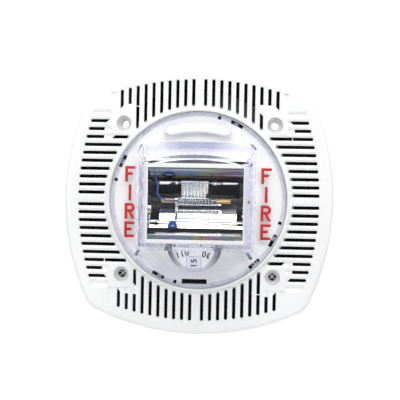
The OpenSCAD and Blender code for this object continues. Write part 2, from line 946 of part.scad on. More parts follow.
// The bright reflector: a trough with closed ends
module reflector() {
  half = mouth_w / 2;
  back_line = [for (i = [len(mirror_line) - 1:-1:0]) mirror_line[i] - [0, mirror_t]];
  color("silver")
    facing_out()
      difference() {
        union() {
          across(-half - mirror_end_t, half + mirror_end_t)
            polygon(concat(mirror_line, back_line));
          for (s = [-1, 1])
            across(s > 0 ? half : -half - mirror_end_t, s > 0 ? half + mirror_end_t : -half)
              polygon(mirror_line);
        }
        tube_along(-half - 5, half + 5, grommet_r - 1);
      }
}

// The xenon flash tube
module flash_tube() {
  color([0.9, 0.93, 1, 0.5])
    facing_out()
      difference() {
        tube_along(-tube_len / 2, tube_len / 2, tube_r);
        tube_along(-tube_len / 2 + 1.2, tube_len / 2 - 1.2, tube_r - 0.6);
      }
}

module tube_electrodes() {
  color("goldenrod")
    facing_out()
      for (s = [-1, 1]) {
        x0 = tube_len / 2;
        x1 = mouth_w / 2 + 3.5;
        tube_along(s > 0 ? x0 : -x1, s > 0 ? x1 : -x0, electrode_r);
      }
}

// Black sleeves over the electrodes, close to the reflector's ends
module tube_sleeves() {
  end = mouth_w / 2 - 1.6;
  color("black")
    facing_out()
      for (s = [-1, 1])
        difference() {
          tube_along(s > 0 ? end - sleeve_len : -end, s > 0 ? end : sleeve_len - end, sleeve_r);
          tube_along(-50, 50, electrode_r + eps);
        }
}

module tube_grommets() {
  half = mouth_w / 2;
  color("dimgray")
    facing_out()
      for (s = [-1, 1])
        difference() {
          union() {
            tube_along(s > 0 ? half - 1.5 : -half, s > 0 ? half : 1.5 - half, grommet_r);
            tube_along(s > 0 ? half - eps : -half - mirror_end_t - eps,
                       s > 0 ? half + mirror_end_t + eps : eps - half, grommet_r - 1.02);
            tube_along(s > 0 ? half + mirror_end_t : -half - mirror_end_t - 1.2,
                       s > 0 ? half + mirror_end_t + 1.2 : -half - mirror_end_t, grommet_r);
          }
          tube_along(-50, 50, electrode_r + eps);
        }
}

// Turns of bare trigger wire around the glass
module trigger_coil() {
  span = tube_len - 6;
  color("silver")
    facing_out()
      for (i = [0:trigger_turns - 1])
        translate([-span / 2 + i * span / (trigger_turns - 1), tube_y, tube_z])
          rotate([0, 90, 0])
            rotate_extrude($fn = 40)
              translate([tube_r + trigger_wire_r + 0.01, 0])
                circle(trigger_wire_r, $fn = 16);
}

// The clip band that joins the trigger lead to the tube
module trigger_band() {
  x = -tube_len / 2 + 0.2;
  color("silver")
    facing_out()
      difference() {
        union() {
          tube_along(x, x + band_w, tube_r + 0.5);
          bar(x, x + band_w, tube_y - 0.8, tube_y + 0.8, tube_z + tube_r, tube_z + tube_r + 1.1);
        }
        tube_along(x - 1, x + band_w + 1, tube_r + 0.01);
      }
}

// The blue trigger lead, from the reflector's upper left corner to the band
module trigger_lead() {
  color("royalblue")
    facing_out()
      wire([for (p = blue_route) [p[0], p[1], p[2] - blue_tube_z + tube_z]], blue_r);
}

// The white dial with its screwdriver slot and spindle
module candela_dial() {
  color("white")
    facing_out()
      translate([dial_x, dial_y, 0])
        difference() {
          union() {
            translate([0, 0, dial_z])
              cylinder(r = dial_r, h = dial_t);
            translate([0, 0, switch_z + 0.3])
              cylinder(r = spindle_r, h = dial_z - switch_z);
            translate([0, 0, dial_z + dial_t - eps])
              cylinder(r = 3, h = 0.15);
          }
          bar(-2.2, 2.2, -0.4, 0.4, dial_z + 0.5, dial_z + 3);
        }
}

module stroke(x0, y0, x1, y1, w) {
  d = norm([x1 - x0, y1 - y0]);
  translate([x0, y0])
    rotate(atan2(y1 - y0, x1 - x0))
      translate([-w / 2, -w / 2])
        square([d + w, w]);
}

module digit(d, size, line) {
  for (i = digit_bars[d])
    stroke(bars[i][0] * size, bars[i][1] * size, bars[i][2] * size, bars[i][3] * size, line);
}

// Five candela figures, each reading towards the dial's centre
module dial_numbers() {
  color("dimgray")
    facing_out()
      translate([dial_x, dial_y, dial_z + dial_t])
        for (i = [0:len(settings) - 1])
          rotate([0, 0, -90 + i * dial_step])
            translate([dial_number_r, 0, 0])
              rotate([0, 0, 180])
                linear_extrude(digit_t)
                  for (k = [0:len(settings[i]) - 1])
                    translate([(k - len(settings[i]) / 2) * digit_step + digit_line,
                               -digit_size])
                      digit(settings[i][k], digit_size, digit_line);
}

module dial_switch() {
  color("darkslategray")
    facing_out()
      difference() {
        translate([dial_x, dial_y, 0])
          rounded_bar(switch_w, switch_w, 1, switch_z, switch_z + switch_t);
        translate([dial_x, dial_y, switch_z - 1])
          cylinder(r = spindle_r + running_c, h = switch_t + 2);
      }
}

module strobe_board() {
  color("darkgreen")
    facing_out()
      difference() {
        board_outline(0, board_z, board_top);
        at_cover_screws()
          translate([0, 0, board_z - 1])
            cylinder(r = cover_screw_r + 0.2, h = 5);
      }
}

// The storage capacitor for the flash, lying on the board under the reflector
module flash_capacitor() {
  color("midnightblue")
    facing_out()
      translate([storage_x, storage_y, board_top + storage_d / 2])
        rotate([0, 90, 0])
          difference() {
            cylinder(d = storage_d, h = storage_len);
            ring_cut(storage_d / 2 - 1, storage_d / 2 - 1.5, storage_len - 0.6);
          }
}

module ring_cut(r_out, r_in, z) {
  ring(r_out, r_in, z, z + 2);
}

module trigger_transformer() {
  color("goldenrod")
    facing_out()
      translate(trigger_at) {
        rounded_bar(trigger_size[0], trigger_size[1], 1, board_top, board_top + trigger_size[2]);
        translate([0, 0, board_top + trigger_size[2]])
          cylinder(r = 2.4, h = 0.6);
      }
}

module charge_inductor() {
  color("saddlebrown")
    facing_out()
      translate([inductor_at[0], inductor_at[1], board_top]) {
        cylinder(r = inductor_r, h = 1);
        cylinder(r = inductor_r - 1.4, h = inductor_h);
        translate([0, 0, inductor_h - 1])
          cylinder(r = inductor_r, h = 1);
      }
}

module board_chips() {
  color("dimgray")
    facing_out()
      for (c = chips)
        translate([c[0], c[1], 0])
          rounded_bar(c[2], c[3], 0.2, board_top, board_top + c[4]);
}

module power_transistor() {
  color("black")
    facing_out()
      translate(transistor_at) {
        rounded_bar(transistor_size[0], transistor_size[1], 0.4, board_top,
                    board_top + transistor_size[2]);
        bar(-3, 3, transistor_size[1] / 2, transistor_size[1] / 2 + 3, board_top,
            board_top + 0.6);
      }
}

module cover_screws() {
  color("silver")
    facing_out()
      at_cover_screws()
        pan_screw(cover_screw_r, 1.9, 0.9, cover_z - eps, carrier_z - cover_z + 0.4);
}

module frame_screws() {
  color("silver")
    facing_out()
      at_frame_screws()
        pan_screw(frame_screw_r, 2.4, 0.6, basket_z, plate_d - 1.6 - basket_z);
}

// The pressed steel basket: a wide flange, a tapered body with windows and a flat foot
module speaker_basket() {
  wall = steel_t;
  foot = basket_foot_z;
  seat = spider_z - spider_t;
  color("lightsteelblue")
    facing_out()
      difference() {
        union() {
          ring(flange_r, basket_r - wall, basket_z, basket_top);
          ring(flange_r, flange_r - wall, basket_z, basket_top + 1.4);
          rotate_extrude()
            polygon([[basket_r - wall, basket_top], [basket_r, basket_top],
                     [basket_r, basket_z], [basket_foot_r + wall, foot],
                     [hole_r + 0.4, foot], [hole_r + 0.4, foot + wall],
                     [basket_foot_r - 0.4, foot + wall], [basket_r - wall, basket_z]]);
          ring(spider_r, spider_r - 2, foot + wall - eps, seat);
        }
        for (a = [window_step / 2:window_step:360])
          clock_at(a, basket_foot_r - 1)
            bar(-window_w / 2, window_w / 2, 1.6, basket_r - basket_foot_r - 1.5, foot - 5, basket_z - 1.5);
        at_wall_screws()
          translate([0, 0, basket_z - 1])
            cylinder(r = screw_boss_r + 1.2, h = 6);
        at_frame_screws()
          translate([0, 0, basket_z - 1])
            cylinder(r = frame_screw_r + 0.2, h = 5);
        clock_at(lead_angle, grommet_at)
          translate([0, 0, basket_z - 1])
            cylinder(r = cable_hole_r, h = 5);
      }
}

module cable_grommet() {
  color("black")
    facing_out()
      clock_at(lead_angle, grommet_at)
        difference() {
          union() {
            translate([0, 0, basket_z - 0.8])
              cylinder(r = cable_hole_r + 1, h = 0.8);
            translate([0, 0, basket_z - eps])
              cylinder(r = cable_hole_r, h = steel_t + 2 * eps);
            translate([0, 0, basket_top])
              cylinder(r = cable_hole_r + 1, h = 0.8);
          }
          translate([0, 0, basket_z - 2])
            cylinder(r = cable_hole_r - 0.9, h = 6);
        }
}

// A thin shell turned about the axis: its top line in radius and height, lowered by its thickness
module turned_sheet(line, t) {
  under = [for (i = [len(line) - 1:-1:0]) line[i] - [0, t]];
  rotate_extrude()
    polygon(concat(line, under));
}

module speaker_cone() {
  top = cone_edge_z;
  color([0.2, 0.2, 0.22])
    facing_out()
      turned_sheet([[cone_r, top], [cone_r - 1.4, top], [neck_r + 1, top - cone_d + 1],
                    [neck_r, top - cone_d + 1]], cone_t);
}

// The rubber roll between cone and basket
module cone_surround() {
  mid = cone_r + roll_r + 0.2;
  z = basket_top;
  color("black")
    facing_out() {
      ring(basket_r, cone_r + surround_w, z, z + surround_t);
      translate([0, 0, z])
        rotate_extrude()
          difference() {
            translate([mid, 0])
              circle(roll_r + 0.2, $fn = 48);
            translate([mid, 0])
              circle(roll_r + 0.2 - surround_t, $fn = 48);
            translate([0, 0])
              square([100, 10]);
          }
    }
}

module dust_cap() {
  ball = cap_r * 1.25;
  drop = sqrt(ball ^ 2 - cap_r ^ 2);
  rise = (cap_r - neck_r) * (cone_d - 1) / (cone_r - 2.4 - neck_r);
  color("black")
    facing_out()
      translate([0, 0, cone_edge_z - cone_d + 1 + rise + 0.1])
        rotate_extrude()
          difference() {
            intersection() {
              translate([0, -drop])
                circle(ball);
              square([cap_r + 2, 30]);
            }
            translate([0, -drop])
              circle(ball - 0.5);
          }
}

// The corrugated cloth spider
module spider() {
  color("khaki")
    facing_out() {
      waves = 3;
      inner = coil_r;
      span = (spider_r - 2 - inner) / (2 * waves);
      turned_sheet(concat([[inner, spider_z]],
                          [for (i = [1:2 * waves])
                             [inner + i * span, spider_z + (i % 2 == 1 ? 0.9 : 0)]],
                          [[spider_r, spider_z]]), spider_t);
    }
}

module coil_former() {
  color("tan")
    facing_out()
      ring(coil_r, coil_d / 2, former_z, cone_edge_z - cone_d + 1);
}

module voice_coil() {
  color("orangered")
    facing_out()
      ring(coil_r + coil_t, coil_r, coil_z, coil_z + coil_len);
}

// Two flexible leads from the cone, out through a basket window, to the tags
module tinsel_leads() {
  z = tag_z;
  color("goldenrod")
    facing_out()
      rotate([0, 0, -tag_angle])
        for (s = [-1, 1])
          wire([[s * 3, tinsel_from, cone_under(tinsel_from) - 0.8],
                [s * 3, tinsel_from + 1.4, z + 1.9], [s * 3.2, tinsel_from + 5, z + 1.2],
                [s * 3.6, tag_at - 5, z + 0.4], [s * tag_x, tag_at - 0.1, z]], tinsel_r, 8, 2);
}

module lead_tags() {
  color("peru")
    facing_out()
      rotate([0, 0, -tag_angle]) {
        bar(-tag_strip_w / 2, tag_strip_w / 2, tag_at, tag_at + tag_strip_t, tag_z - tag_down,
            basket_under(tag_at));
        for (s = [-1, 1])
          bar(s * tag_x - 1, s * tag_x + 1, tag_at + tag_strip_t, tag_at + tag_strip_t + tag_len,
              tag_z - 0.3, tag_z + 0.3);
      }
}

module top_plate() {
  color("silver")
    facing_out()
      ring(top_plate_r, hole_r, top_plate_z, basket_foot_z);
}

module ring_magnet() {
  color("dimgray")
    facing_out()
      ring(magnet_r, magnet_hole_r, magnet_z, top_plate_z);
}

// The yoke: a back plate with the pole, tapped for the bracket screw
module yoke() {
  color("silver")
    facing_out()
      difference() {
        union() {
          translate([0, 0, yoke_z])
            cylinder(r = top_plate_r, h = yoke_t);
          translate([0, 0, yoke_z])
            cylinder(r = pole_r, h = basket_foot_z - yoke_z);
        }
        translate([0, 0, yoke_z - 1])
          cylinder(r = yoke_screw_r + screw_c, h = 8);
      }
}

module at_standoffs() {
  for (x = [-1, 1], y = [-1, 1])
    translate([x * standoff_x, y * standoff_y, 0])
      children();
}

module at_transformer_screws() {
  for (y = [-1, 1])
    translate([core_x + core_w / 2, y * (core_h / 2 + 3.2), 0])
      children();
}

module rear_bracket() {
  color("lightgray")
    facing_out()
      difference() {
        bar(-bracket_left, bracket_right, -bracket_h / 2, bracket_h / 2, bracket_z, yoke_z);
        translate([0, 0, bracket_z - 1])
          cylinder(r = yoke_screw_r + 0.2, h = 4);
        at_standoffs()
          translate([0, 0, bracket_z - 1])
            cylinder(r = board_screw_r + 0.2, h = 4);
        at_transformer_screws()
          translate([0, 0, bracket_z - 1])
            cylinder(r = board_screw_r + 0.2, h = 4);
      }
}

module yoke_screw() {
  color("silver")
    facing_out()
      pan_screw(yoke_screw_r, yoke_screw_head_r, 1.8, bracket_z, 7.5);
}

// The line transformer: laminated core with feet, and its winding
module transformer_core() {
  mid = core_x + core_w / 2;
  color("slategray")
    facing_out()
      difference() {
        union() {
          bar(core_x, core_x + core_w, -core_h / 2, core_h / 2, yoke_z, yoke_z + core_d);
          bar(mid - 4, mid + 4, -core_h / 2 - 6, core_h / 2 + 6, yoke_z, yoke_z + 1.2);
        }
        for (s = [-1, 1])
          bar(core_x - 1, core_x + core_w + 1, s * 5.6 - 2.2, s * 5.6 + 2.2,
              yoke_z + 3, yoke_z + core_d - 3);
        at_transformer_screws()
          translate([0, 0, yoke_z - 1])
            cylinder(r = board_screw_r + 0.2, h = 4);
      }
}

module transformer_winding() {
  mid = core_x + core_w / 2;
  color("gold")
    facing_out()
      difference() {
        bar(mid - core_w / 2 - 1, mid + core_w / 2 + 1, -7.6, 7.6,
            yoke_z + 3.2, yoke_z + core_d - 3.2);
        bar(core_x - 0.1, core_x + core_w + 0.1, -3.5, 3.5, yoke_z, yoke_z + core_d);
      }
}

module transformer_screws() {
  color("silver")
    facing_out()
      at_transformer_screws()
        pan_screw(board_screw_r, 2.4, 1.3, bracket_z, 5);
}

module board_standoffs() {
  color("ivory")
    facing_out()
      at_standoffs()
        difference() {
          translate([0, 0, tap_z + board_t])
            cylinder(r = standoff_r, h = standoff_len);
          translate([0, 0, tap_z])
            cylinder(r = board_screw_r + screw_c, h = standoff_len + 5);
        }
}

module tap_board() {
  color("darkgreen")
    facing_out()
      difference() {
        rounded_bar(tap_board_w, tap_board_h, 3, tap_z, tap_z + board_t);
        at_standoffs()
          translate([0, 0, tap_z - 1])
            cylinder(r = board_screw_r + 0.2, h = 5);
        translate([0, 0, tap_z - 1])
          cylinder(r = yoke_screw_head_r + 1, h = 5);
      }
}

module tap_board_screws() {
  color("silver")
    facing_out()
      at_standoffs()
        pan_screw(board_screw_r, 2.2, 1.3, tap_z, board_t + standoff_len + steel_t - 0.1);
}

// The power-tap switch body, with a round well for its knob
module tap_switch() {
  color("royalblue")
    facing_out()
      translate([rotary_x, rotary_y, 0])
        difference() {
          rounded_bar(rotary_w, rotary_w, 1, tap_z - rotary_t, tap_z);
          translate([0, 0, tap_z - rotary_t - 1])
            cylinder(r = knob_spindle_r + running_c, h = rotary_t);
        }
}

module tap_knob() {
  back = tap_z - rotary_t;
  color("white")
    facing_out()
      translate([rotary_x, rotary_y, 0])
        difference() {
          union() {
            translate([0, 0, back - 0.3 - knob_t])
              cylinder(r = knob_r, h = knob_t);
            translate([0, 0, back - 0.3 - eps])
              cylinder(r = knob_spindle_r, h = 0.3 + rotary_t - 1.5);
          }
          bar(-0.5, 0.5, -knob_r - 1, knob_r - 1.2, back - knob_t - 2, back - knob_t + 0.9);
        }
}

// The 25/70 volt slide switch
module voltage_switch() {
  slot_l = slider_w + slider_travel + 0.6;
  color("darkslategray")
    facing_out()
      translate([toggle_x, toggle_y, 0])
        difference() {
          rounded_bar(toggle_w, toggle_h, 0.5, tap_z - toggle_t, tap_z);
          bar(-slot_l / 2, slot_l / 2, -slider_h / 2 - 0.3, slider_h / 2 + 0.3,
              tap_z - toggle_t - 1, tap_z - 1);
        }
}

module voltage_slider() {
  x0 = toggle_x - slider_travel / 2 - slider_w / 2;
  color("white")
    facing_out()
      bar(x0, x0 + slider_w, toggle_y - slider_h / 2, toggle_y + slider_h / 2,
          tap_z - toggle_t - slider_out, tap_z - 1.3);
}

function way_x(i) = block_x + (i - (block_ways - 1) / 2) * block_pitch;

// The field terminal block with its wire entries
module terminal_block() {
  color("seagreen")
    facing_out()
      difference() {
        bar(block_x - block_w / 2, block_x + block_w / 2, block_y - block_h / 2,
            block_y + block_h / 2, tap_z - block_t, tap_z);
        for (i = [0:block_ways - 1]) {
          translate([way_x(i), block_y + 1.5, tap_z - block_t - 1])
            cylinder(d = 3.8, h = 5.6);
          bar(way_x(i) - 1.7, way_x(i) + 1.7, block_y - block_h / 2 - 1, block_y - 1,
              tap_z - 6.4, tap_z - 2.2);
        }
      }
}

module terminal_screws() {
  color("silver")
    facing_out()
      for (i = [0:block_ways - 1])
        translate([way_x(i), block_y + 1.5, 0])
          difference() {
            translate([0, 0, tap_z - block_t + 1.6])
              cylinder(d = 3.4, h = 3);
            bar(-2, 2, -0.35, 0.35, tap_z - block_t, tap_z - block_t + 2.5);
          }
}

module blocking_capacitor() {
  color("midnightblue")
    facing_out()
      translate([dc_cap_at[0], dc_cap_at[1], tap_z - dc_cap_len])
        difference() {
          cylinder(r = dc_cap_r, h = dc_cap_len);
          for (a = [0, 90])
            rotate([0, 0, a])
              bar(-2.4, 2.4, -0.15, 0.15, -1, 0.3);
        }
}

module board_resistors() {
  color("burlywood")
    facing_out()
      for (i = [0:2])
        translate([resistor_at[0], resistor_at[1] + resistor_step * i, tap_z - resistor_r])
          rotate([0, 90, 0])
            cylinder(r = resistor_r, h = resistor_len);
}

// Red and black leads from the strobe board to the tap board
module strobe_lead_red() {
  color("firebrick")
    facing_out()
      wire([for (p = lead_route) [p[0] + lead_side, p[1] + lead_side, p[2]]], lead_r);
}

module strobe_lead_black() {
  color("black")
    facing_out()
      wire([for (p = lead_route) [p[0] - lead_side, p[1] - lead_side, p[2]]], lead_r);
}

grille_plate();
dust_screen();
screw_retainers();
strobe_lens();
fire_legend();
blank_label();
strobe_carrier();
strobe_cover();
reflector();
flash_tube();
tube_electrodes();
tube_sleeves();
tube_grommets();
trigger_coil();
trigger_band();
trigger_lead();
candela_dial();
dial_numbers();
dial_switch();
strobe_board();
flash_capacitor();
trigger_transformer();
charge_inductor();
board_chips();
power_transistor();
cover_screws();
frame_screws();
speaker_basket();
speaker_cone();
cone_surround();
dust_cap();
spider();
coil_former();
voice_coil();
tinsel_leads();
lead_tags();
top_plate();
ring_magnet();
yoke();
rear_bracket();
yoke_screw();
transformer_core();
transformer_winding();
transformer_screws();
board_standoffs();
tap_board();
tap_board_screws();
tap_switch();
tap_knob();
voltage_switch();
voltage_slider();
terminal_block();
terminal_screws();
blocking_capacitor();
board_resistors();
cable_grommet();
strobe_lead_red();
strobe_lead_black();
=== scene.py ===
"""A wall horn strobe: clear lens over a mirror reflector, louvred white plate, loudspeaker and tap board.

Metres, row frame: the front faces -Y, up is +Z, and the origin is the middle of the four wall screws.
Sizes with no unit of their own are in millimetres and are made metres by MM or by at().
"""
import json
import math

import bpy
from mathutils import Matrix, Vector

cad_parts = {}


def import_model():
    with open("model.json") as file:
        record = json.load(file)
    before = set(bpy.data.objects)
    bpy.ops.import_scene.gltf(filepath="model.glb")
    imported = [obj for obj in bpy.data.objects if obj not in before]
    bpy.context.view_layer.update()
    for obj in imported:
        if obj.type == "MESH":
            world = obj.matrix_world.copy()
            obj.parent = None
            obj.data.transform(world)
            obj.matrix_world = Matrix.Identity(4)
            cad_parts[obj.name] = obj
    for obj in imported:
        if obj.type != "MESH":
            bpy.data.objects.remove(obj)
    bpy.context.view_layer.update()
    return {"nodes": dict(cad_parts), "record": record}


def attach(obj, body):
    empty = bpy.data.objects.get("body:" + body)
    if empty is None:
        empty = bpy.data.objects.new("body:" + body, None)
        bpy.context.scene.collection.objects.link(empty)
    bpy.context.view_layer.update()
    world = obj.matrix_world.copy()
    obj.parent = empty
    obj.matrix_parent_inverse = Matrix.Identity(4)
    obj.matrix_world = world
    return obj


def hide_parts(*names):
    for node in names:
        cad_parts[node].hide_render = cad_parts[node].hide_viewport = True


MM = 0.001
MICRON = 0.000001
FACING_FRONT = (math.pi / 2, 0, 0)

# ------------------------------------------------------------------ camera and light, in metres
CAMERA_DISTANCE = 0.540
CAMERA_TO_RIGHT = math.radians(3.7)
CAMERA_ROLL = math.radians(1.1)
CAMERA_NEAR = 0.01
AIM = Vector((0.0010, -0.005, 0.0))
FRAME_WIDTH_AT_FACE = 0.254
FACE_DEPTH = 0.013
SENSOR = 36.0

# Brightness of the room from straight ahead of the object (0) to straight behind it (1)
ROOM_TONES = [(0.0, (0.03, 0.03, 0.04)), (0.035, (0.05, 0.05, 0.06)), (0.10, (0.48, 0.485, 0.51)),
              (1.0, (0.56, 0.565, 0.59))]
BACKDROP_STRENGTH = 1.05

# Where each lamp stands, its width and height, and its watts. All of them face the object.
SOFT_BOXES = {
    "top_soft_box": ((0.05, -0.42, 0.75), 0.8, 0.5, 7.3),
    "left_soft_box": ((-0.75, -0.55, 0.25), 0.5, 0.7, 2.7),
    "right_soft_box": ((0.75, -0.6, 0.1), 0.5, 0.7, 2.1),
    "back_soft_box": ((0.0, 0.8, 0.6), 0.8, 0.6, 6.0),
}
FLOOR_HEIGHT = -0.36
FLOOR_RADIUS = 0.85


def deselect():
    if bpy.context.object and bpy.context.object.mode != "OBJECT":
        bpy.ops.object.mode_set(mode="OBJECT")
    bpy.ops.object.select_all(action="DESELECT")


def select_only(piece):
    deselect()
    piece.select_set(True)
    bpy.context.view_layer.objects.active = piece


def settle():
    """Puts the place, turn and size of the selected object into its mesh."""
    bpy.ops.object.transform_apply(location=True, rotation=True, scale=True)


def set_camera():
    place = AIM + CAMERA_DISTANCE * Vector((math.sin(CAMERA_TO_RIGHT), -math.cos(CAMERA_TO_RIGHT), 0))
    bpy.ops.object.camera_add(location=place)
    camera = bpy.context.object
    camera.rotation_euler = (AIM - place).to_track_quat("-Z", "Y").to_euler()
    camera.rotation_euler.rotate_axis("Z", CAMERA_ROLL)
    camera.data.sensor_width = SENSOR
    camera.data.lens = SENSOR * (CAMERA_DISTANCE - FACE_DEPTH) / FRAME_WIDTH_AT_FACE
    camera.data.clip_start = CAMERA_NEAR
    bpy.context.scene.camera = camera


def soft_box(name, place, width, height, watts):
    bpy.ops.object.light_add(type="AREA", location=place)
    lamp = bpy.context.object
    lamp.name = name
    lamp.rotation_euler = (-Vector(place)).to_track_quat("-Z", "Y").to_euler()
    lamp.data.shape = "RECTANGLE"
    lamp.data.size = width
    lamp.data.size_y = height
    lamp.data.energy = watts


def set_room():
    """A white backdrop for the camera and, for all other light, a room that is dark straight ahead."""
    world = bpy.data.worlds.new("studio_air")
    bpy.context.scene.world = world
    world.use_nodes = True
    tree = world.node_tree
    room = tree.nodes["Background"]
    where = tree.nodes.new("ShaderNodeTexCoord")
    ahead = axes(tree, where.outputs["Generated"])[1]
    tree.links.new(ramp(tree, spread(tree, ahead, 0, 1, -1, 1), ROOM_TONES), room.inputs["Color"])
    backdrop = tree.nodes.new("ShaderNodeBackground")
    set_sockets(backdrop, Color=(1, 1, 1, 1), Strength=BACKDROP_STRENGTH)
    path = tree.nodes.new("ShaderNodeLightPath")
    mix_shaders(tree, path.outputs["Is Camera Ray"], room.outputs["Background"],
                backdrop.outputs["Background"], tree.nodes["World Output"])


def set_studio():
    set_room()
    for name, settings in SOFT_BOXES.items():
        soft_box(name, *settings)
    bpy.ops.mesh.primitive_circle_add(vertices=96, radius=FLOOR_RADIUS, fill_type="NGON",
                                      location=(0, 0, FLOOR_HEIGHT))
    floor = new_piece("studio_floor")
    floor.data.materials.append(plain("pale_floor", (0.86, 0.86, 0.85), (0.9, 0.9, 0.89), 30, 0.5, 0.6, 0))
    view = bpy.context.scene.view_settings
    view.view_transform = "Standard"
    view.look = "None"
    view.exposure = 0.0
    view.gamma = 1.0


# ------------------------------------------------------------------ where the finishes change
BOX_START = 13.8
BOX_SIDE = 30.3
BOX_FOOT = -27.2
BROW_FOOT = 24.5
BROW_TOP = 33.0
BROW_MIDDLE = 10.0
BROW_END = 36.0
RIM_STEP_RADIUS = 53.9
# Painted shade on the clear lens: darker on the brow and towards its foot, besides a bluish tint where the
# wall is seen edge on
LOWER_SHADE_TOP = -22.0
LOWER_SHADE_FOOT = -46.0
LENS_TINT_AND_SHADE_TONES = [(0.0, (1.0, 1.0, 1.0)), (0.5, (0.84, 0.83, 0.96)), (1.0, (0.36, 0.39, 0.53))]
SIDE_TINT = 0.55
RIM_TINT = 0.6
LOWER_SHADE = 0.24
DIM_SHEEN = 0.12
PLAIN_SHEEN = 0.5
PEBBLES_PER_METRE = 520
PEBBLE_STRETCH = 0.45

# Painted reflections on the mirror: dark and bright bands of the room painted into its colour near the top
REFLECTION_BAND_FOOT = 11.5
REFLECTION_BAND_TOP = 18.5
REFLECTION_BANDS_BEGIN = 11.8
PAINTED_REFLECTION_BANDS = [(0.0, (0.16, 0.15, 0.18)), (0.10, (0.03, 0.03, 0.04)), (0.36, (0.03, 0.03, 0.04)),
               (0.40, (0.40, 0.30, 0.14)), (0.43, (0.05, 0.05, 0.06)), (0.49, (0.05, 0.05, 0.06)),
               (0.53, (0.95, 0.96, 0.98)), (0.64, (0.95, 0.96, 0.98)), (0.69, (0.34, 0.44, 0.58)),
               (0.90, (0.55, 0.64, 0.74)), (1.0, (0.80, 0.84, 0.88))]
RAINBOW_TOP = -21.8
RAINBOW_HALF = 30.0
RAINBOW_ROUGHNESS = 0.24
RAINBOW = [(0.0, (0.55, 0.88, 0.80)), (0.14, (0.90, 0.93, 0.98)), (0.30, (0.80, 0.78, 0.95)),
           (0.42, (0.62, 0.80, 0.98)), (0.52, (0.95, 0.93, 0.60)), (0.62, (0.98, 0.70, 0.72)),
           (0.72, (0.88, 0.72, 0.95)), (0.86, (0.72, 0.88, 0.90)), (1.0, (0.92, 0.94, 0.98))]

# Painted glint and painted shade on the speaker's flange
GLINT_ACROSS = (4.0, 22.0)
GLINT_UP = (46.0, 58.0)
PAINTED_GLINT = 0.85
FLANGE_SHADE_AND_GLINT_TONES = [(0.0, (0.05, 0.052, 0.062)), (0.15, (0.08, 0.083, 0.098)), (1.0, (0.62, 0.66, 0.74))]

DIAL_X = -1.6
DIAL_Y = -32.6
# Painted shade on the sloping ring round the dial
WELL_SHADE_BEGINS = 7.0
WELL_SHADE_ENDS = 16.5
WELL_SHADE_TONES = [(0.0, (0.90, 0.90, 0.92)), (0.45, (0.66, 0.67, 0.73)), (0.95, (0.22, 0.23, 0.27))]


# ------------------------------------------------------------------ materials
def new_finish(name):
    """A new material with its node tree and its shader."""
    material = bpy.data.materials.new(name)
    material.use_nodes = True
    return material, material.node_tree, material.node_tree.nodes["Principled BSDF"]


def set_sockets(node, **fixed):
    for socket, value in fixed.items():
        node.inputs[socket.replace("_", " ")].default_value = value


def object_coordinates(tree, scale=(1, 1, 1)):
    where = tree.nodes.new("ShaderNodeTexCoord")
    mapping = tree.nodes.new("ShaderNodeMapping")
    mapping.inputs["Scale"].default_value = scale
    tree.links.new(where.outputs["Object"], mapping.inputs["Vector"])
    return mapping.outputs["Vector"]


def axes(tree, vector):
    """The x, y and z of a vector, as three outputs."""
    split = tree.nodes.new("ShaderNodeSeparateXYZ")
    tree.links.new(vector, split.inputs["Vector"])
    return [split.outputs[axis] for axis in "XYZ"]


def noise(tree, vector, scale, detail=3.0):
    pattern = tree.nodes.new("ShaderNodeTexNoise")
    set_sockets(pattern, Scale=scale, Detail=detail, Roughness=0.55)
    tree.links.new(vector, pattern.inputs["Vector"])
    return pattern.outputs["Fac"]


def ramp(tree, source, stops):
    band = tree.nodes.new("ShaderNodeValToRGB")
    points = band.color_ramp.elements
    while len(points) < len(stops):
        points.new(0.5)
    for point, (at_position, colour) in zip(points, stops):
        point.position = at_position
        point.color = (*colour, 1)
    tree.links.new(source, band.inputs["Fac"])
    return band.outputs["Color"]


def spread(tree, source, low, high, start=0.3, end=0.7):
    """Runs from low to high as the source runs from start to end."""
    scale = tree.nodes.new("ShaderNodeMapRange")
    set_sockets(scale, From_Min=start, From_Max=end, To_Min=low, To_Max=high)
    tree.links.new(source, scale.inputs["Value"])
    return scale.outputs["Result"]


def rise(tree, source, start, end, low=0.0, high=1.0):
    """Spread over a stretch of the object given in millimetres."""
    return spread(tree, source, low, high, start * MM, end * MM)


def math_node(tree, operation, first, second=None):
    node = tree.nodes.new("ShaderNodeMath")
    node.operation = operation
    for socket, value in zip(node.inputs, (first, second)):
        if value is None:
            continue
        if isinstance(value, (int, float)):
            socket.default_value = value
        else:
            tree.links.new(value, socket)
    return node.outputs["Value"]


def mix_colours(tree, amount, first, second):
    blend = tree.nodes.new("ShaderNodeMix")
    blend.data_type = "RGBA"
    tree.links.new(amount, blend.inputs["Factor"])
    tree.links.new(first, blend.inputs[6])
    tree.links.new(second, blend.inputs[7])
    return blend.outputs[2]


def mix_shaders(tree, amount, first, second, output):
    mix = tree.nodes.new("ShaderNodeMixShader")
    tree.links.new(amount, mix.inputs["Fac"])
    tree.links.new(first, mix.inputs[1])
    tree.links.new(second, mix.inputs[2])
    tree.links.new(mix.outputs["Shader"], output.inputs["Surface"])


def bump(tree, height, shader, depth, below=None):
    """A bump of that depth in metres, on top of the one below. With no shader it is only handed on."""
    node = tree.nodes.new("ShaderNodeBump")
    set_sockets(node, Strength=1.0, Distance=depth)
    tree.links.new(height, node.inputs["Height"])
    if below is not None:
        tree.links.new(below, node.inputs["Normal"])
    if shader is not None:
        tree.links.new(node.outputs["Normal"], shader.inputs["Normal"])
    return node.outputs["Normal"]


def surface_grain(tree, shader, vector, scale, rough_low, rough_high, depth):
    """A fine pattern that the roughness follows, raised by its depth in micrometres."""
    fine = noise(tree, vector, scale, 2.0)
    tree.links.new(spread(tree, fine, rough_low, rough_high), shader.inputs["Roughness"])
    if depth:
        bump(tree, fine, shader, depth * MICRON)
    return fine


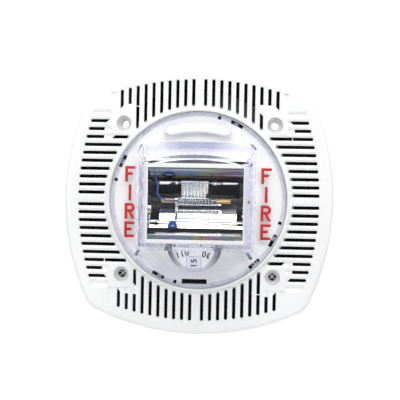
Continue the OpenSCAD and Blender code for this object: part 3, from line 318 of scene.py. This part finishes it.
def plain(name, dark, light, scale, rough_low, rough_high, depth, grain=2500, **fixed):
    """Two close tones in soft patches, under a surface grain."""
    material, tree, shader = new_finish(name)
    vector = object_coordinates(tree)
    patches = noise(tree, vector, scale)
    tree.links.new(ramp(tree, patches, [(0.35, dark), (0.65, light)]), shader.inputs["Base Color"])
    surface_grain(tree, shader, vector, grain, rough_low, rough_high, depth)
    set_sockets(shader, **fixed)
    return material


def let_lamps_through(material, tree, shader, tint):
    """Lamp light and light scattered by what the clear wall covers pass it straight."""
    lamps = tree.nodes.new("ShaderNodeBsdfTransparent")
    set_sockets(lamps, Color=(*tint, 1))
    path = tree.nodes.new("ShaderNodeLightPath")
    either = math_node(tree, "MAXIMUM", path.outputs["Is Shadow Ray"], path.outputs["Is Diffuse Ray"])
    mix_shaders(tree, either, shader.outputs["BSDF"], lamps.outputs["BSDF"], tree.nodes["Material Output"])


def tube_glass():
    tint = (0.95, 0.97, 1.0)
    material, tree, shader = new_finish("tube_glass")
    set_sockets(shader, Base_Color=(*tint, 1), Transmission_Weight=1.0, IOR=1.47)
    surface_grain(tree, shader, object_coordinates(tree), 300, 0.012, 0.03, 10)
    let_lamps_through(material, tree, shader, tint)
    return material


def lens_tint_and_shade(tree, x, z, on_box, edge):
    """How deep the tint and painted shade are, and the painted shade of the brow alone: painted shade on the
    brow and lower part, bluish tint on the box walls and rim.
    """
    side = math_node(tree, "ABSOLUTE", x)
    # painted shade on the brow, strongest at its middle
    brow = math_node(tree, "MULTIPLY", on_box, rise(tree, z, BROW_FOOT, BROW_TOP))
    brow = math_node(tree, "MULTIPLY", brow, rise(tree, side, BROW_MIDDLE, BROW_END, 1, 0.25))
    radius = tree.nodes.new("ShaderNodeVectorMath")
    radius.operation = "LENGTH"
    tree.links.new(object_coordinates(tree, scale=(1, 0, 1)), radius.inputs[0])
    rim = math_node(tree, "GREATER_THAN", radius.outputs["Value"], RIM_STEP_RADIUS * MM)
    tint = math_node(tree, "MULTIPLY", edge, SIDE_TINT)
    tint = math_node(tree, "MAXIMUM", tint, brow)
    tint = math_node(tree, "MAXIMUM", tint, math_node(tree, "MULTIPLY", rim, RIM_TINT))
    # painted shade: the lens darker towards its foot
    lower = rise(tree, z, LOWER_SHADE_TOP, LOWER_SHADE_FOOT, 0, LOWER_SHADE)
    return math_node(tree, "MAXIMUM", tint, lower), brow


def clear_lens():
    """Clear polycarbonate: bluish where the wall is seen edge on, with painted shade on the brow and towards
    the foot, and pebbled along the sides of the box.
    """
    material, tree, shader = new_finish("clear_lens")
    set_sockets(shader, Transmission_Weight=1.0, IOR=1.5)
    vector = object_coordinates(tree)
    x, y, z = axes(tree, vector)
    on_box = math_node(tree, "LESS_THAN", y, -BOX_START * MM)
    at_side = math_node(tree, "GREATER_THAN", math_node(tree, "ABSOLUTE", x), BOX_SIDE * MM)
    at_foot = math_node(tree, "LESS_THAN", z, BOX_FOOT * MM)
    below_brow = math_node(tree, "LESS_THAN", z, BROW_FOOT * MM)
    edge = math_node(tree, "MULTIPLY", math_node(tree, "MAXIMUM", at_side, at_foot), below_brow)
    edge = math_node(tree, "MULTIPLY", on_box, edge)
    tint, brow = lens_tint_and_shade(tree, x, z, on_box, edge)
    tree.links.new(ramp(tree, tint, LENS_TINT_AND_SHADE_TONES), shader.inputs["Base Color"])
    tree.links.new(spread(tree, brow, PLAIN_SHEEN, DIM_SHEEN, 0, 1), shader.inputs["Specular IOR Level"])
    pebbles = tree.nodes.new("ShaderNodeTexVoronoi")
    set_sockets(pebbles, Scale=PEBBLES_PER_METRE)
    tree.links.new(object_coordinates(tree, scale=(1, 1, PEBBLE_STRETCH)), pebbles.inputs["Vector"])
    pebbled = math_node(tree, "MULTIPLY", pebbles.outputs["Distance"], edge)
    waves = noise(tree, vector, 90, 2.0)
    softly = bump(tree, waves, None, 40 * MICRON)
    bump(tree, pebbled, shader, 300 * MICRON, below=softly)
    tree.links.new(spread(tree, waves, 0.02, 0.06), shader.inputs["Roughness"])
    let_lamps_through(material, tree, shader, (1.0, 1.0, 1.0))
    return material


def mirror_finish():
    """Vacuum-plated plastic: painted reflections as dark and bright bands near the top, faint rainbow on the
    bottom slope.
    """
    material, tree, shader = new_finish("mirror_finish")
    set_sockets(shader, Metallic=1.0)
    vector = object_coordinates(tree)
    x, _, z = axes(tree, vector)
    plating = ramp(tree, noise(tree, vector, 40), [(0.35, (0.86, 0.86, 0.88)), (0.65, (0.92, 0.92, 0.93))])
    rainbow = ramp(tree, rise(tree, x, -RAINBOW_HALF, RAINBOW_HALF), RAINBOW)
    on_slope = math_node(tree, "LESS_THAN", z, RAINBOW_TOP * MM)
    # painted reflections: bands of the room painted into the mirror's colour
    painted_reflections = ramp(tree, rise(tree, z, REFLECTION_BAND_FOOT, REFLECTION_BAND_TOP), PAINTED_REFLECTION_BANDS)
    on_painted_reflections = math_node(tree, "GREATER_THAN", z, REFLECTION_BANDS_BEGIN * MM)
    lower = mix_colours(tree, on_slope, plating, rainbow)
    tree.links.new(mix_colours(tree, on_painted_reflections, lower, painted_reflections), shader.inputs["Base Color"])
    fine = noise(tree, vector, 200, 2.0)
    softer = math_node(tree, "MULTIPLY", on_slope, RAINBOW_ROUGHNESS)
    rough = math_node(tree, "ADD", spread(tree, fine, 0.03, 0.06), softer)
    tree.links.new(rough, shader.inputs["Roughness"])
    bump(tree, fine, shader, 4 * MICRON)
    return material


def flange_steel():
    """Plated steel kept dark as painted shade, with a painted glint on one quarter of the flange."""
    material, tree, shader = new_finish("flange_steel")
    set_sockets(shader, Metallic=0.9)
    vector = object_coordinates(tree)
    x, y, z = axes(tree, vector)
    painted_glint = math_node(tree, "MULTIPLY", rise(tree, x, *GLINT_ACROSS), rise(tree, z, *GLINT_UP))
    painted_glint = math_node(tree, "MULTIPLY", painted_glint, math_node(tree, "LESS_THAN", y, 0))
    patches = spread(tree, noise(tree, vector, 160), 0, 0.12)
    tone = math_node(tree, "ADD", math_node(tree, "MULTIPLY", painted_glint, PAINTED_GLINT), patches)
    tree.links.new(ramp(tree, tone, FLANGE_SHADE_AND_GLINT_TONES), shader.inputs["Base Color"])
    surface_grain(tree, shader, vector, 2500, 0.25, 0.42, 10)
    return material


def shaded_well():
    """White plastic with painted shade that falls into grey towards the two sides of the dial."""
    material, tree, shader = new_finish("well_shade")
    vector = object_coordinates(tree)
    x = axes(tree, vector)[0]
    from_dial = math_node(tree, "ABSOLUTE", math_node(tree, "SUBTRACT", x, DIAL_X * MM))
    fine = surface_grain(tree, shader, vector, 500, 0.35, 0.5, 10)
    away = math_node(tree, "ADD", rise(tree, from_dial, WELL_SHADE_BEGINS, WELL_SHADE_ENDS),
                     spread(tree, fine, -0.06, 0.06))
    tree.links.new(ramp(tree, away, WELL_SHADE_TONES), shader.inputs["Base Color"])
    return material


# Darker and lighter tone, how fine their patches are, lowest and highest roughness, grain depth in micrometres
PLAIN_FINISHES = {
    "white_plastic": ((0.79, 0.79, 0.785), (0.82, 0.82, 0.815), 25, 0.30, 0.38, 12),
    "carrier_white": ((0.92, 0.92, 0.935), (0.95, 0.95, 0.96), 25, 0.30, 0.38, 12),
    "dial_white": ((0.92, 0.92, 0.935), (0.95, 0.95, 0.96), 25, 0.30, 0.38, 12),
    # grey_steel is kept near black: partly the steel's own tone, partly painted shade for the dark behind the
    # plate
    "grey_steel": ((0.055, 0.057, 0.067), (0.075, 0.078, 0.092), 160, 0.25, 0.42, 10),
    "dull_steel": ((0.13, 0.13, 0.135), (0.19, 0.19, 0.195), 400, 0.45, 0.6, 20),
    # Painted shade: edges of clear lens mouldings coloured lavender and smoky blue in place of the shade and
    # refraction that show them
    "painted_edge_shade": ((0.62, 0.61, 0.74), (0.74, 0.73, 0.85), 500, 0.2, 0.35, 20),
    "painted_rib_shade": ((0.10, 0.14, 0.20), (0.34, 0.38, 0.48), 900, 0.12, 0.25, 40),
    "shadow_grey": ((0.055, 0.05, 0.07), (0.11, 0.10, 0.135), 90, 0.4, 0.55, 10),
    "red_ink": ((0.50, 0.022, 0.02), (0.57, 0.035, 0.03), 120, 0.32, 0.45, 8),
    "label_film": ((0.86, 0.86, 0.87), (0.9, 0.9, 0.9), 80, 0.25, 0.35, 0),
    "grey_plastic": ((0.55, 0.55, 0.6), (0.6, 0.6, 0.65), 80, 0.4, 0.5, 10),
    "brass_pin": ((0.62, 0.40, 0.16), (0.78, 0.56, 0.25), 300, 0.25, 0.4, 10),
    "black_rubber": ((0.012, 0.012, 0.013), (0.03, 0.03, 0.032), 200, 0.45, 0.6, 20),
    "bright_wire": ((0.7, 0.7, 0.72), (0.85, 0.85, 0.87), 400, 0.15, 0.3, 10),
    "blue_insulation": ((0.02, 0.06, 0.28), (0.04, 0.11, 0.42), 200, 0.3, 0.42, 10),
    "black_ink": ((0.02, 0.02, 0.025), (0.04, 0.04, 0.045), 200, 0.4, 0.5, 0),
    "black_plastic": ((0.015, 0.015, 0.017), (0.03, 0.03, 0.032), 120, 0.3, 0.45, 12),
    "green_board": ((0.01, 0.12, 0.05), (0.03, 0.22, 0.09), 150, 0.2, 0.35, 15),
    "capacitor_can": ((0.02, 0.02, 0.05), (0.04, 0.04, 0.09), 120, 0.2, 0.35, 10),
    "amber_tape": ((0.75, 0.42, 0.05), (0.85, 0.55, 0.1), 120, 0.2, 0.35, 20),
    "ferrite": ((0.05, 0.05, 0.055), (0.1, 0.1, 0.105), 300, 0.45, 0.65, 30),
    "zinc_screw": ((0.55, 0.56, 0.58), (0.75, 0.76, 0.78), 250, 0.2, 0.35, 10),
    "black_cloth": ((0.004, 0.004, 0.005), (0.012, 0.012, 0.013), 400, 0.85, 0.95, 80),
    "black_paper": ((0.02, 0.02, 0.022), (0.045, 0.044, 0.043), 180, 0.75, 0.9, 60),
    "tan_cloth": ((0.42, 0.27, 0.12), (0.55, 0.38, 0.2), 300, 0.8, 0.9, 60),
    "kraft_paper": ((0.4, 0.26, 0.14), (0.52, 0.36, 0.22), 200, 0.75, 0.9, 30),
    "copper_wire": ((0.55, 0.2, 0.07), (0.75, 0.34, 0.14), 300, 0.2, 0.35, 20),
    "lamination_steel": ((0.12, 0.12, 0.13), (0.28, 0.28, 0.3), 200, 0.35, 0.55, 30),
    "ivory_nylon": ((0.72, 0.68, 0.55), (0.8, 0.77, 0.66), 100, 0.4, 0.5, 10),
    "blue_plastic": ((0.02, 0.10, 0.35), (0.03, 0.15, 0.45), 100, 0.3, 0.42, 10),
    "green_plastic": ((0.02, 0.25, 0.08), (0.04, 0.35, 0.12), 100, 0.3, 0.42, 10),
    "tan_ceramic": ((0.55, 0.42, 0.28), (0.66, 0.52, 0.36), 200, 0.5, 0.65, 20),
    "red_insulation": ((0.4, 0.01, 0.01), (0.55, 0.02, 0.02), 200, 0.3, 0.42, 10),
    "black_insulation": ((0.012, 0.012, 0.012), (0.03, 0.03, 0.03), 200, 0.3, 0.42, 10),
}

# What some of them have besides
FINISH_EXTRAS = {
    # The dial's emission is painted light that brightens it under the lens; the dial is no lamp
    "dial_white": {"Emission_Color": (0.95, 0.95, 1.0, 1), "Emission_Strength": 0.22},
    "grey_steel": {"Metallic": 0.9},
    "dull_steel": {"Metallic": 0.6},
    "brass_pin": {"Metallic": 1.0},
    "bright_wire": {"Metallic": 1.0},
    "zinc_screw": {"Metallic": 1.0},
    "copper_wire": {"Metallic": 1.0},
    "lamination_steel": {"Metallic": 0.8},
    "black_cloth": {"grain": 1800, "Specular_IOR_Level": 0.05},
    "black_paper": {"grain": 900},
    "tan_cloth": {"grain": 1400},
}


def make_finishes():
    finishes = {}
    for name, tones in PLAIN_FINISHES.items():
        finishes[name] = plain(name, *tones, **FINISH_EXTRAS.get(name, {}))
    finishes["clear_lens"] = clear_lens()
    finishes["tube_glass"] = tube_glass()
    finishes["mirror_finish"] = mirror_finish()
    finishes["flange_steel"] = flange_steel()
    finishes["well_shade"] = shaded_well()
    return finishes


# ------------------------------------------------------------------ modelling by hand
def pick(piece, wanted):
    """Leaves edit mode on with only the vertices selected whose place satisfies wanted."""
    bpy.ops.object.mode_set(mode="EDIT")
    bpy.ops.mesh.select_mode(type="VERT")
    bpy.ops.mesh.select_all(action="DESELECT")
    bpy.ops.object.mode_set(mode="OBJECT")
    for vertex in piece.data.vertices:
        vertex.select = wanted(vertex.co)
    bpy.ops.object.mode_set(mode="EDIT")
    bpy.ops.mesh.select_mode(type="VERT")


def edit_all():
    """Leaves edit mode on with the whole mesh selected."""
    bpy.ops.object.mode_set(mode="EDIT")
    bpy.ops.mesh.select_all(action="SELECT")


def new_piece(name):
    """Names the mesh just added, and puts its place and turn into it."""
    piece = bpy.context.object
    piece.name = name
    piece.data.name = name
    settle()
    return piece


def copies_of(piece, count):
    """The piece and count - 1 copies of it, each with its own mesh."""
    pieces = [piece]
    for _ in range(count - 1):
        select_only(piece)
        bpy.ops.object.duplicate(linked=False)
        pieces.append(bpy.context.object)
    return pieces


def finish_piece(piece, finish, body, *modifiers, smooth=35, slot=None):
    """Applies place and modifiers, smooths, gives the finish, and rides on the body."""
    select_only(piece)
    settle()
    for kind, settings in modifiers:
        modifier = piece.modifiers.new(kind.lower(), kind)
        for setting, value in settings.items():
            setattr(modifier, setting, value)
        bpy.ops.object.modifier_apply(modifier=modifier.name)
    bpy.ops.object.shade_smooth_by_angle(angle=math.radians(smooth))
    piece.data.materials.clear()
    piece.data.materials.append(finish)
    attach(piece, body)
    deselect()


def bevel(width):
    return "BEVEL", {"width": width * MM, "segments": 2, "limit_method": "ANGLE",
                     "angle_limit": math.radians(35), "harden_normals": False}


def wall(thickness):
    return "SOLIDIFY", {"thickness": thickness * MM, "offset": 1.0, "use_even_offset": True}


def at(x, height, depth):
    """A place given across, up and out from the wall, in millimetres."""
    return Vector((x, -depth, height)) * MM


def push(move):
    """Extrudes what is selected by a move."""
    bpy.ops.mesh.extrude_region_move(TRANSFORM_OT_translate={"value": move})


def tube(radius, length, place, vertices):
    """An open tube from front to back."""
    bpy.ops.mesh.primitive_cylinder_add(vertices=vertices, radius=radius * MM, depth=length * MM,
                                        end_fill_type="NOTHING", location=place, rotation=FACING_FRONT)


def swept_edge(name, half_width, profile):
    """An edge across the object, extruded through a profile of (height, depth)."""
    bpy.ops.mesh.primitive_plane_add(size=2 * half_width * MM)
    piece = new_piece(name)
    pick(piece, lambda co: co.y > 0)
    bpy.ops.mesh.delete(type="VERT")
    bpy.ops.mesh.select_all(action="SELECT")
    bpy.ops.transform.translate(value=at(0, *profile[0]) - Vector((0, -half_width * MM, 0)))
    for start, end in zip(profile, profile[1:]):
        push(at(0, *end) - at(0, *start))
    return piece


def close_ends(piece, half_width):
    for side in (-1, 1):
        pick(piece, lambda co: abs(co.x - side * half_width * MM) < 1e-6)
        bpy.ops.mesh.edge_face_add()
    bpy.ops.mesh.select_all(action="SELECT")
    bpy.ops.mesh.normals_make_consistent(inside=False)


def keep_side(piece, place, normal, fill=False):
    """Cuts the piece by a plane and keeps the side that the normal points to."""
    edit_all()
    bpy.ops.mesh.bisect(plane_co=place, plane_no=normal, clear_inner=True, use_fill=fill)
    bpy.ops.object.mode_set(mode="OBJECT")


def ring(name, centre, radius, height_radius, inner, depth, inner_depth, vertices=96):
    """A flat or sloping ring about a place on the front, with inner as a fraction of its radius."""
    tube(1, 1, at(*centre, depth - 0.5), vertices)
    piece = new_piece(name)
    middle = at(*centre, depth)
    edit_all()
    bpy.ops.transform.resize(value=(radius, 1, height_radius), center_override=middle)
    pick(piece, lambda co: co.y > -(depth - 0.5) * MM)
    bpy.ops.transform.resize(value=(inner, 1, inner), center_override=middle)
    bpy.ops.transform.translate(value=at(0, 0, inner_depth - depth + 1))
    return piece


# ------------------------------------------------------------------ reflector
REFLECTOR_HALF = 29.3
GAP_HEIGHT = -19.25
GAP_DEPTH = 22.2
GAP_SIZE = Vector((2 * REFLECTOR_HALF, 0.8, 2.4)) * MM
FRAME_DEPTH = 34.3
FRAME_HALF = (32.2, 24.9)
FRAME_DROP = -2.5
FRAME_BAND = 2.7


def dish(start, end, sag, steps):
    """Points from start to end on a curve that sinks by sag in its middle."""
    points = []
    for step in range(1, steps + 1):
        t = step / steps
        height = start[0] + (end[0] - start[0]) * t
        depth = start[1] + (end[1] - start[1]) * t - 4 * sag * t * (1 - t)
        points.append((height, depth))
    return points


def make_reflector(finishes):
    """The mirror, swept across the box through its own outline of (height, depth)."""
    profile = [(21.4, 34.5), (21.3, 30.4), (18.8, 32.0), (18.3, 30.8)]
    profile += dish((18.3, 30.8), (12.0, 21.4), 1.0, 8)
    profile += dish((12.0, 21.4), (2.0, 18.2), 0.62, 10)
    profile += [(-4.2, 18.1), (-8.2, 18.7)]
    profile += dish((-8.2, 18.7), (-13.5, 21.9), 0.15, 4)
    profile += [(-13.8, 21.4), (-14.4, 21.6), (-15.4, 22.5), (-17.9, 24.1), (-18.0, 21.6), (-20.5, 21.6),
                (-20.6, 25.2), (-22.0, 26.1)]
    profile += dish((-22.0, 26.1), (-25.3, 31.6), 0.3, 5)
    profile += [(-25.8, 34.5)]
    shell = swept_edge("reflector_shell", REFLECTOR_HALF, profile)
    close_ends(shell, REFLECTOR_HALF)
    finish_piece(shell, finishes["mirror_finish"], "housing", wall(0.9), bevel(0.18), smooth=28)
    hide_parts("reflector")


def make_reflector_gap_shadow(finishes):
    """A black bar standing in for the shade in the deep slot between two facets."""
    bpy.ops.mesh.primitive_cube_add(size=1, location=at(0, GAP_HEIGHT, GAP_DEPTH), scale=GAP_SIZE)
    finish_piece(new_piece("reflector_gap_shadow"), finishes["black_plastic"], "housing", bevel(0.2))


def make_reflector_frame(finishes):
    """The white frame round the mirror's mouth."""
    middle = at(0, 0, FRAME_DEPTH)
    bpy.ops.mesh.primitive_plane_add(size=2 * MM, location=middle, rotation=FACING_FRONT)
    frame_piece = new_piece("reflector_frame")
    edit_all()
    bpy.ops.transform.resize(value=(FRAME_HALF[0], 1, FRAME_HALF[1]), center_override=middle)
    bpy.ops.transform.translate(value=at(0, FRAME_DROP, 0))
    bpy.ops.mesh.inset(thickness=FRAME_BAND * MM)
    bpy.ops.mesh.delete(type="FACE")
    finish_piece(frame_piece, finishes["white_plastic"], "housing", wall(0.8), bevel(0.25))


def make_brow_shadow_shelf(finishes):
    """A dark shelf standing in for the shade between the reflector's top edge and the arched front of the
    lens.
    """
    arch = 111.0
    arch_top = 25.1
    shelf_foot = 21.8
    shelf_half = 28.4
    shelf_depth = 27
    bpy.ops.mesh.primitive_circle_add(vertices=360, radius=arch * MM, fill_type="NGON",
                                      rotation=FACING_FRONT, location=at(0, arch_top - arch, shelf_depth))
    shelf = new_piece("brow_shadow_shelf")
    keep_side(shelf, at(0, shelf_foot, 0), (0, 0, 1))
    for side in (-1, 1):
        keep_side(shelf, at(side * shelf_half, 0, 0), (-side, 0, 0))
    finish_piece(shelf, finishes["shadow_grey"], "housing", wall(0.6), bevel(0.12), slot="grey_plastic")


# ------------------------------------------------------------------ flash tube
TUBE_HEIGHT = -0.8
TUBE_DEPTH = 27.6
BOOT_RADIUS = 1.9
BOOT_BACK = TUBE_DEPTH - 0.4
BOOT_FLARE = 1.15
BOOT_LIP = 2.2
FOOT_MIDDLE = (-14.6, -19.6, 25.4)
FOOT_BEND = 2.6
FOOT_WIRE = 0.95
FOOT_CUT = -18.9


def make_boots(finishes):
    """Rubber boots behind the tube's two ends, open to the front so that the pins show."""
    for name, start, end in (("left_boot", -27.5, -11.9), ("right_boot", 8.2, 24.0)):
        bpy.ops.mesh.primitive_cylinder_add(vertices=32, radius=BOOT_RADIUS * MM, depth=(end - start) * MM,
                                            location=at((start + end) / 2, TUBE_HEIGHT, TUBE_DEPTH),
                                            rotation=(0, math.pi / 2, 0))
        boot = new_piece(name)
        keep_side(boot, at(0, 0, BOOT_BACK), (0, 1, 0), fill=True)
        keep_side(boot, at(0, TUBE_HEIGHT + 0.6, 0), (0, 0, 1), fill=True)
        pick(boot, lambda co: co.z > TUBE_HEIGHT * MM)
        bpy.ops.transform.resize(value=(1, 1, 2.0), center_override=at(0, TUBE_HEIGHT, 0))
        bpy.ops.mesh.select_all(action="SELECT")
        bpy.ops.transform.translate(value=at(0, 0.4, -1.2))
        inner, lip = (end, BOOT_LIP) if start < 0 else (start, -BOOT_LIP)
        pick(boot, lambda co: abs(co.x - inner * MM) < 1e-5)
        push((0, 0, 0))
        bpy.ops.transform.resize(value=(1, BOOT_FLARE, BOOT_FLARE),
                                 center_override=at(inner, TUBE_HEIGHT, BOOT_BACK))
        push(at(lip, 0, 0))
        finish_piece(boot, finishes["black_rubber"], "housing", bevel(0.25))


def make_lead_foot(finishes):
    """The foot of the blue trigger lead, bent over the bottom step of the reflector."""
    bpy.ops.mesh.primitive_torus_add(major_segments=48, minor_segments=16, major_radius=FOOT_BEND * MM,
                                     minor_radius=FOOT_WIRE * MM, location=at(*FOOT_MIDDLE),
                                     rotation=FACING_FRONT)
    foot = new_piece("lead_foot")
    keep_side(foot, at(0, FOOT_CUT, 0), (0, 0, 1), fill=True)
    edit_all()
    bpy.ops.transform.resize(value=(0.95, 0.8, 1.75), center_override=at(-14.6, -20.2, 25.4))
    finish_piece(foot, finishes["blue_insulation"], "housing", bevel(0.1))


# ------------------------------------------------------------------ lens trim
RIB_DEPTH = 14.9

# Each rib's middle, across and up, and its turn in degrees
CORNER_RIBS = ((-37.0, 32.3, 16), (35.0, 33.4, -28), (-37.6, -33.4, 28), (33.2, -34.6, -35))

# Width of the band, half its length, its depth, its finish and its slot
LABEL_LAYERS = {
    "label_outline": (6.5, 22.3, 13.3, "painted_edge_shade", "clear_lens"),
    "label_film": (5.2, 21.0, 13.5, "label_film", "label_film"),
}
LABEL_X = -0.6
LABEL_TOP = 46.3
LABEL_ARCH = 67.0
LABEL_TIP_LEAN = 0.85

PANE_HEIGHT = -40.8
PANE_DEPTH = 14.02
PANE_SIZE = 9.9
PANE_CORNER = 1.1
PANE_BAND = 0.62

WELL_MIDDLE = (DIAL_X - 0.6, DIAL_Y + 2.8)
WELL_RADIUS = 17.9
BOW_MIDDLE = (DIAL_X, -29.6)
BOW_CUT = -31.9

HOOK_TURN = math.radians(26.0)
HOOK_SIZE = Vector((3.4, 1.0, 1.7)) * MM
HOOK_DEPTH = 9.6
WINDOW_RADIUS = 54.6


def make_corner_ribs(finishes):
    """Four short moulded ribs that lean on the corners of the lens box."""
    bpy.ops.mesh.primitive_cube_add(size=1, location=at(0, 0, RIB_DEPTH), scale=Vector((2.0, 2.2, 6.6)) * MM)
    rib = new_piece("corner_rib")
    edit_all()
    bpy.ops.mesh.subdivide(number_cuts=2)
    pick(rib, lambda co: co.z > 2.5 * MM)
    bpy.ops.transform.resize(value=(0.35, 0.5, 1), center_override=at(0, 3.3, 13.4))
    for piece, (x, height, turn) in zip(copies_of(rib, len(CORNER_RIBS)), CORNER_RIBS):
        piece.location = at(x, height, 0)
        piece.rotation_euler = (0, math.radians(turn), 0)
        finish_piece(piece, finishes["painted_rib_shade"], "housing", bevel(0.3), slot="clear_lens")


def make_label(finishes):
    """A blank arched label: a white film inside a moulded outline, each cut to a point at both ends."""
    foot = LABEL_TOP - LABEL_ARCH
    for name, (width, half, depth, finish, slot) in LABEL_LAYERS.items():
        outer = LABEL_ARCH + width / 2
        strip = ring(name, (LABEL_X, foot), outer, outer, (LABEL_ARCH - width / 2) / outer, depth, depth, 360)
        rise_at_tip = math.sqrt(LABEL_ARCH ** 2 - half ** 2)
        for side in (-1, 1):
            tip = at(LABEL_X + side * half, foot + rise_at_tip, depth)
            for lean in (-LABEL_TIP_LEAN, LABEL_TIP_LEAN):
                turn = math.asin(side * half / LABEL_ARCH) + lean
                keep_side(strip, tip, (-side * math.cos(turn), 0, side * math.sin(turn)))
        finish_piece(strip, finishes[finish], "housing", wall(0.2), bevel(0.06), slot=slot)
        if name == "label_film":
            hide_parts("blank_label")


def make_pane_rim(finishes):
    """The moulded edge of the little window over the figure in use."""
    bpy.ops.mesh.primitive_plane_add(size=PANE_SIZE * MM, location=at(DIAL_X, PANE_HEIGHT, PANE_DEPTH),
                                     rotation=FACING_FRONT)
    rim = new_piece("pane_rim")
    edit_all()
    bpy.ops.mesh.bevel(affect="VERTICES", offset=PANE_CORNER * MM, segments=5)
    bpy.ops.mesh.select_mode(type="FACE")
    bpy.ops.mesh.select_all(action="SELECT")
    bpy.ops.mesh.inset(thickness=PANE_BAND * MM)
    bpy.ops.mesh.delete(type="FACE")
    finish_piece(rim, finishes["painted_edge_shade"], "housing", wall(0.35), bevel(0.12), slot="clear_lens")


def make_dial_well(finishes):
    """The sloping ring round the dial, with painted shade at its sides."""
    well = ring("dial_well", WELL_MIDDLE, WELL_RADIUS, WELL_RADIUS, 0.70, 10.7, 8.9)
    finish_piece(well, finishes["well_shade"], "housing", wall(0.25), bevel(0.08), slot="white_plastic")


def make_bows(finishes):
    """Two curved lines moulded in the lens below the box."""
    for name, wide, high in (("outer_bow", 38.0, 18.6), ("inner_bow", 30.5, 14.4)):
        bow = ring(name, BOW_MIDDLE, wide, high, 0.985, 13.3, 13.45)
        keep_side(bow, at(0, BOW_CUT, 0), (0, 0, -1))
        finish_piece(bow, finishes["painted_edge_shade"], "housing", wall(0.18), bevel(0.06), slot="clear_lens")


def make_lens_hooks(finishes):
    """The toes of the lens's four hooks, seen in the windows of the carrier."""
    place = at(0, WINDOW_RADIUS, HOOK_DEPTH)
    bpy.ops.mesh.primitive_cube_add(size=1, location=place, scale=HOOK_SIZE)
    hook = new_piece("lens_hook_toe")
    front = place.y - 0.49 * HOOK_SIZE.y
    pick(hook, lambda co: co.y < front)
    bpy.ops.transform.resize(value=(0.7, 1, 0.8), center_override=place)
    push(at(0.7, 0, 0.35))
    bpy.ops.transform.resize(value=(0.6, 1, 0.9), center_override=place)
    for quarter, piece in enumerate(copies_of(hook, 4)):
        piece.rotation_euler = (0, HOOK_TURN + quarter * math.pi / 2, 0)
        finish_piece(piece, finishes["painted_edge_shade"], "housing", bevel(0.15), slot="clear_lens")


# ------------------------------------------------------------------ dust screen
FLANGE_RADIUS = 71.5
SKIRT_LENGTH = 6.8
SKIRT_DEPTH = 6.8
SKIRT_HALF_ANGLE = math.radians(45 - 4.6)
SCREW_AT = 48.65
BOSS_COLLAR = 7.0


def finish_cloth_quarters(piece, finishes, thickness):
    """Finishes the piece and three copies of it, a quarter turn apart."""
    for quarter, copy in enumerate(copies_of(piece, 4)):
        copy.rotation_euler = (0, -quarter * math.pi / 2, 0)
        finish_piece(copy, finishes["black_cloth"], "housing", wall(thickness), bevel(0.1))


def make_dust_skirt(finishes):
    """The dust screen's inner edge, turned back to the flange of the basket between the screw bosses."""
    tube(FLANGE_RADIUS - 0.5, SKIRT_LENGTH, at(0, 0, SKIRT_DEPTH), 200)
    skirt = new_piece("dust_skirt")
    for side in (-1, 1):
        edge = side * SKIRT_HALF_ANGLE
        keep_side(skirt, (0, 0, 0), (side * math.sin(edge), 0, -side * math.cos(edge)))
    finish_cloth_quarters(skirt, finishes, 0.9)


def make_boss_collars(finishes):
    """The same edge round each of the four screw bosses."""
    tube(BOSS_COLLAR, SKIRT_LENGTH, at(SCREW_AT, SCREW_AT, SKIRT_DEPTH), 48)
    finish_cloth_quarters(new_piece("boss_collar"), finishes, 1.2)


# ------------------------------------------------------------------ dial figures
DIAL_SETTINGS = ("15", "30", "60", "75", "110")
DIAL_STEP = 72
DIAL_FACE = 10.55
FIGURE_RADIUS = 8.2
FIGURE_SIZE = 5.4


def make_figures(finishes):
    """The five figures printed round the dial, each reading in towards its middle, the first at the pane."""
    figures = []
    for index, text in enumerate(DIAL_SETTINGS):
        turn = math.radians(-90 + DIAL_STEP * index)
        bpy.ops.object.text_add()
        figure = bpy.context.object
        figure.data.body = text
        figure.data.size = FIGURE_SIZE * MM
        figure.data.extrude = 0.06 * MM
        figure.data.offset = 0.1 * MM
        figure.data.align_x = "CENTER"
        figure.data.align_y = "CENTER"
        figure.data.space_character = 1.12
        bpy.ops.object.convert(target="MESH")
        across = DIAL_X + FIGURE_RADIUS * math.cos(turn)
        up = DIAL_Y + FIGURE_RADIUS * math.sin(turn)
        figure.matrix_world = (Matrix.Translation(at(across, up, DIAL_FACE + 0.05))
                               @ Matrix.Rotation(math.pi / 2, 4, "X")
                               @ Matrix.Rotation(turn + math.pi, 4, "Z"))
        figures.append(figure)
    deselect()
    for figure in figures:
        figure.select_set(True)
    bpy.context.view_layer.objects.active = figures[0]
    settle()
    bpy.ops.object.join()
    piece = new_piece("dial_figures")
    finish_piece(piece, finishes["black_ink"], "candela_wheel")
    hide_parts("dial_numbers")


# ------------------------------------------------------------------ the whole
# CAD nodes whose finish isn't the one that their slot names
# The screw retainers' dull grey fills the two lower screw holes, standing partly for painted shade behind
# those holes
NODE_FINISHES = {"strobe_carrier": "carrier_white", "candela_dial": "dial_white",
                 "screw_retainers": "dull_steel", "speaker_basket": "flange_steel"}


def dress_nodes(frame, finishes):
    slots = {part["node"]: part["material_slot"] for part in frame["record"]["subparts"]}
    for name, node in frame["nodes"].items():
        node.data.materials.clear()
        node.data.materials.append(finishes[NODE_FINISHES.get(name, slots[name])])


def main():
    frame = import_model()
    deselect()
    finishes = make_finishes()
    set_camera()
    set_studio()
    dress_nodes(frame, finishes)
    for make in (make_reflector, make_reflector_gap_shadow, make_reflector_frame, make_brow_shadow_shelf, make_figures,
                 make_boots, make_lead_foot, make_corner_ribs, make_label, make_pane_rim, make_dial_well,
                 make_bows, make_lens_hooks, make_dust_skirt, make_boss_collars):
        make(finishes)


main()
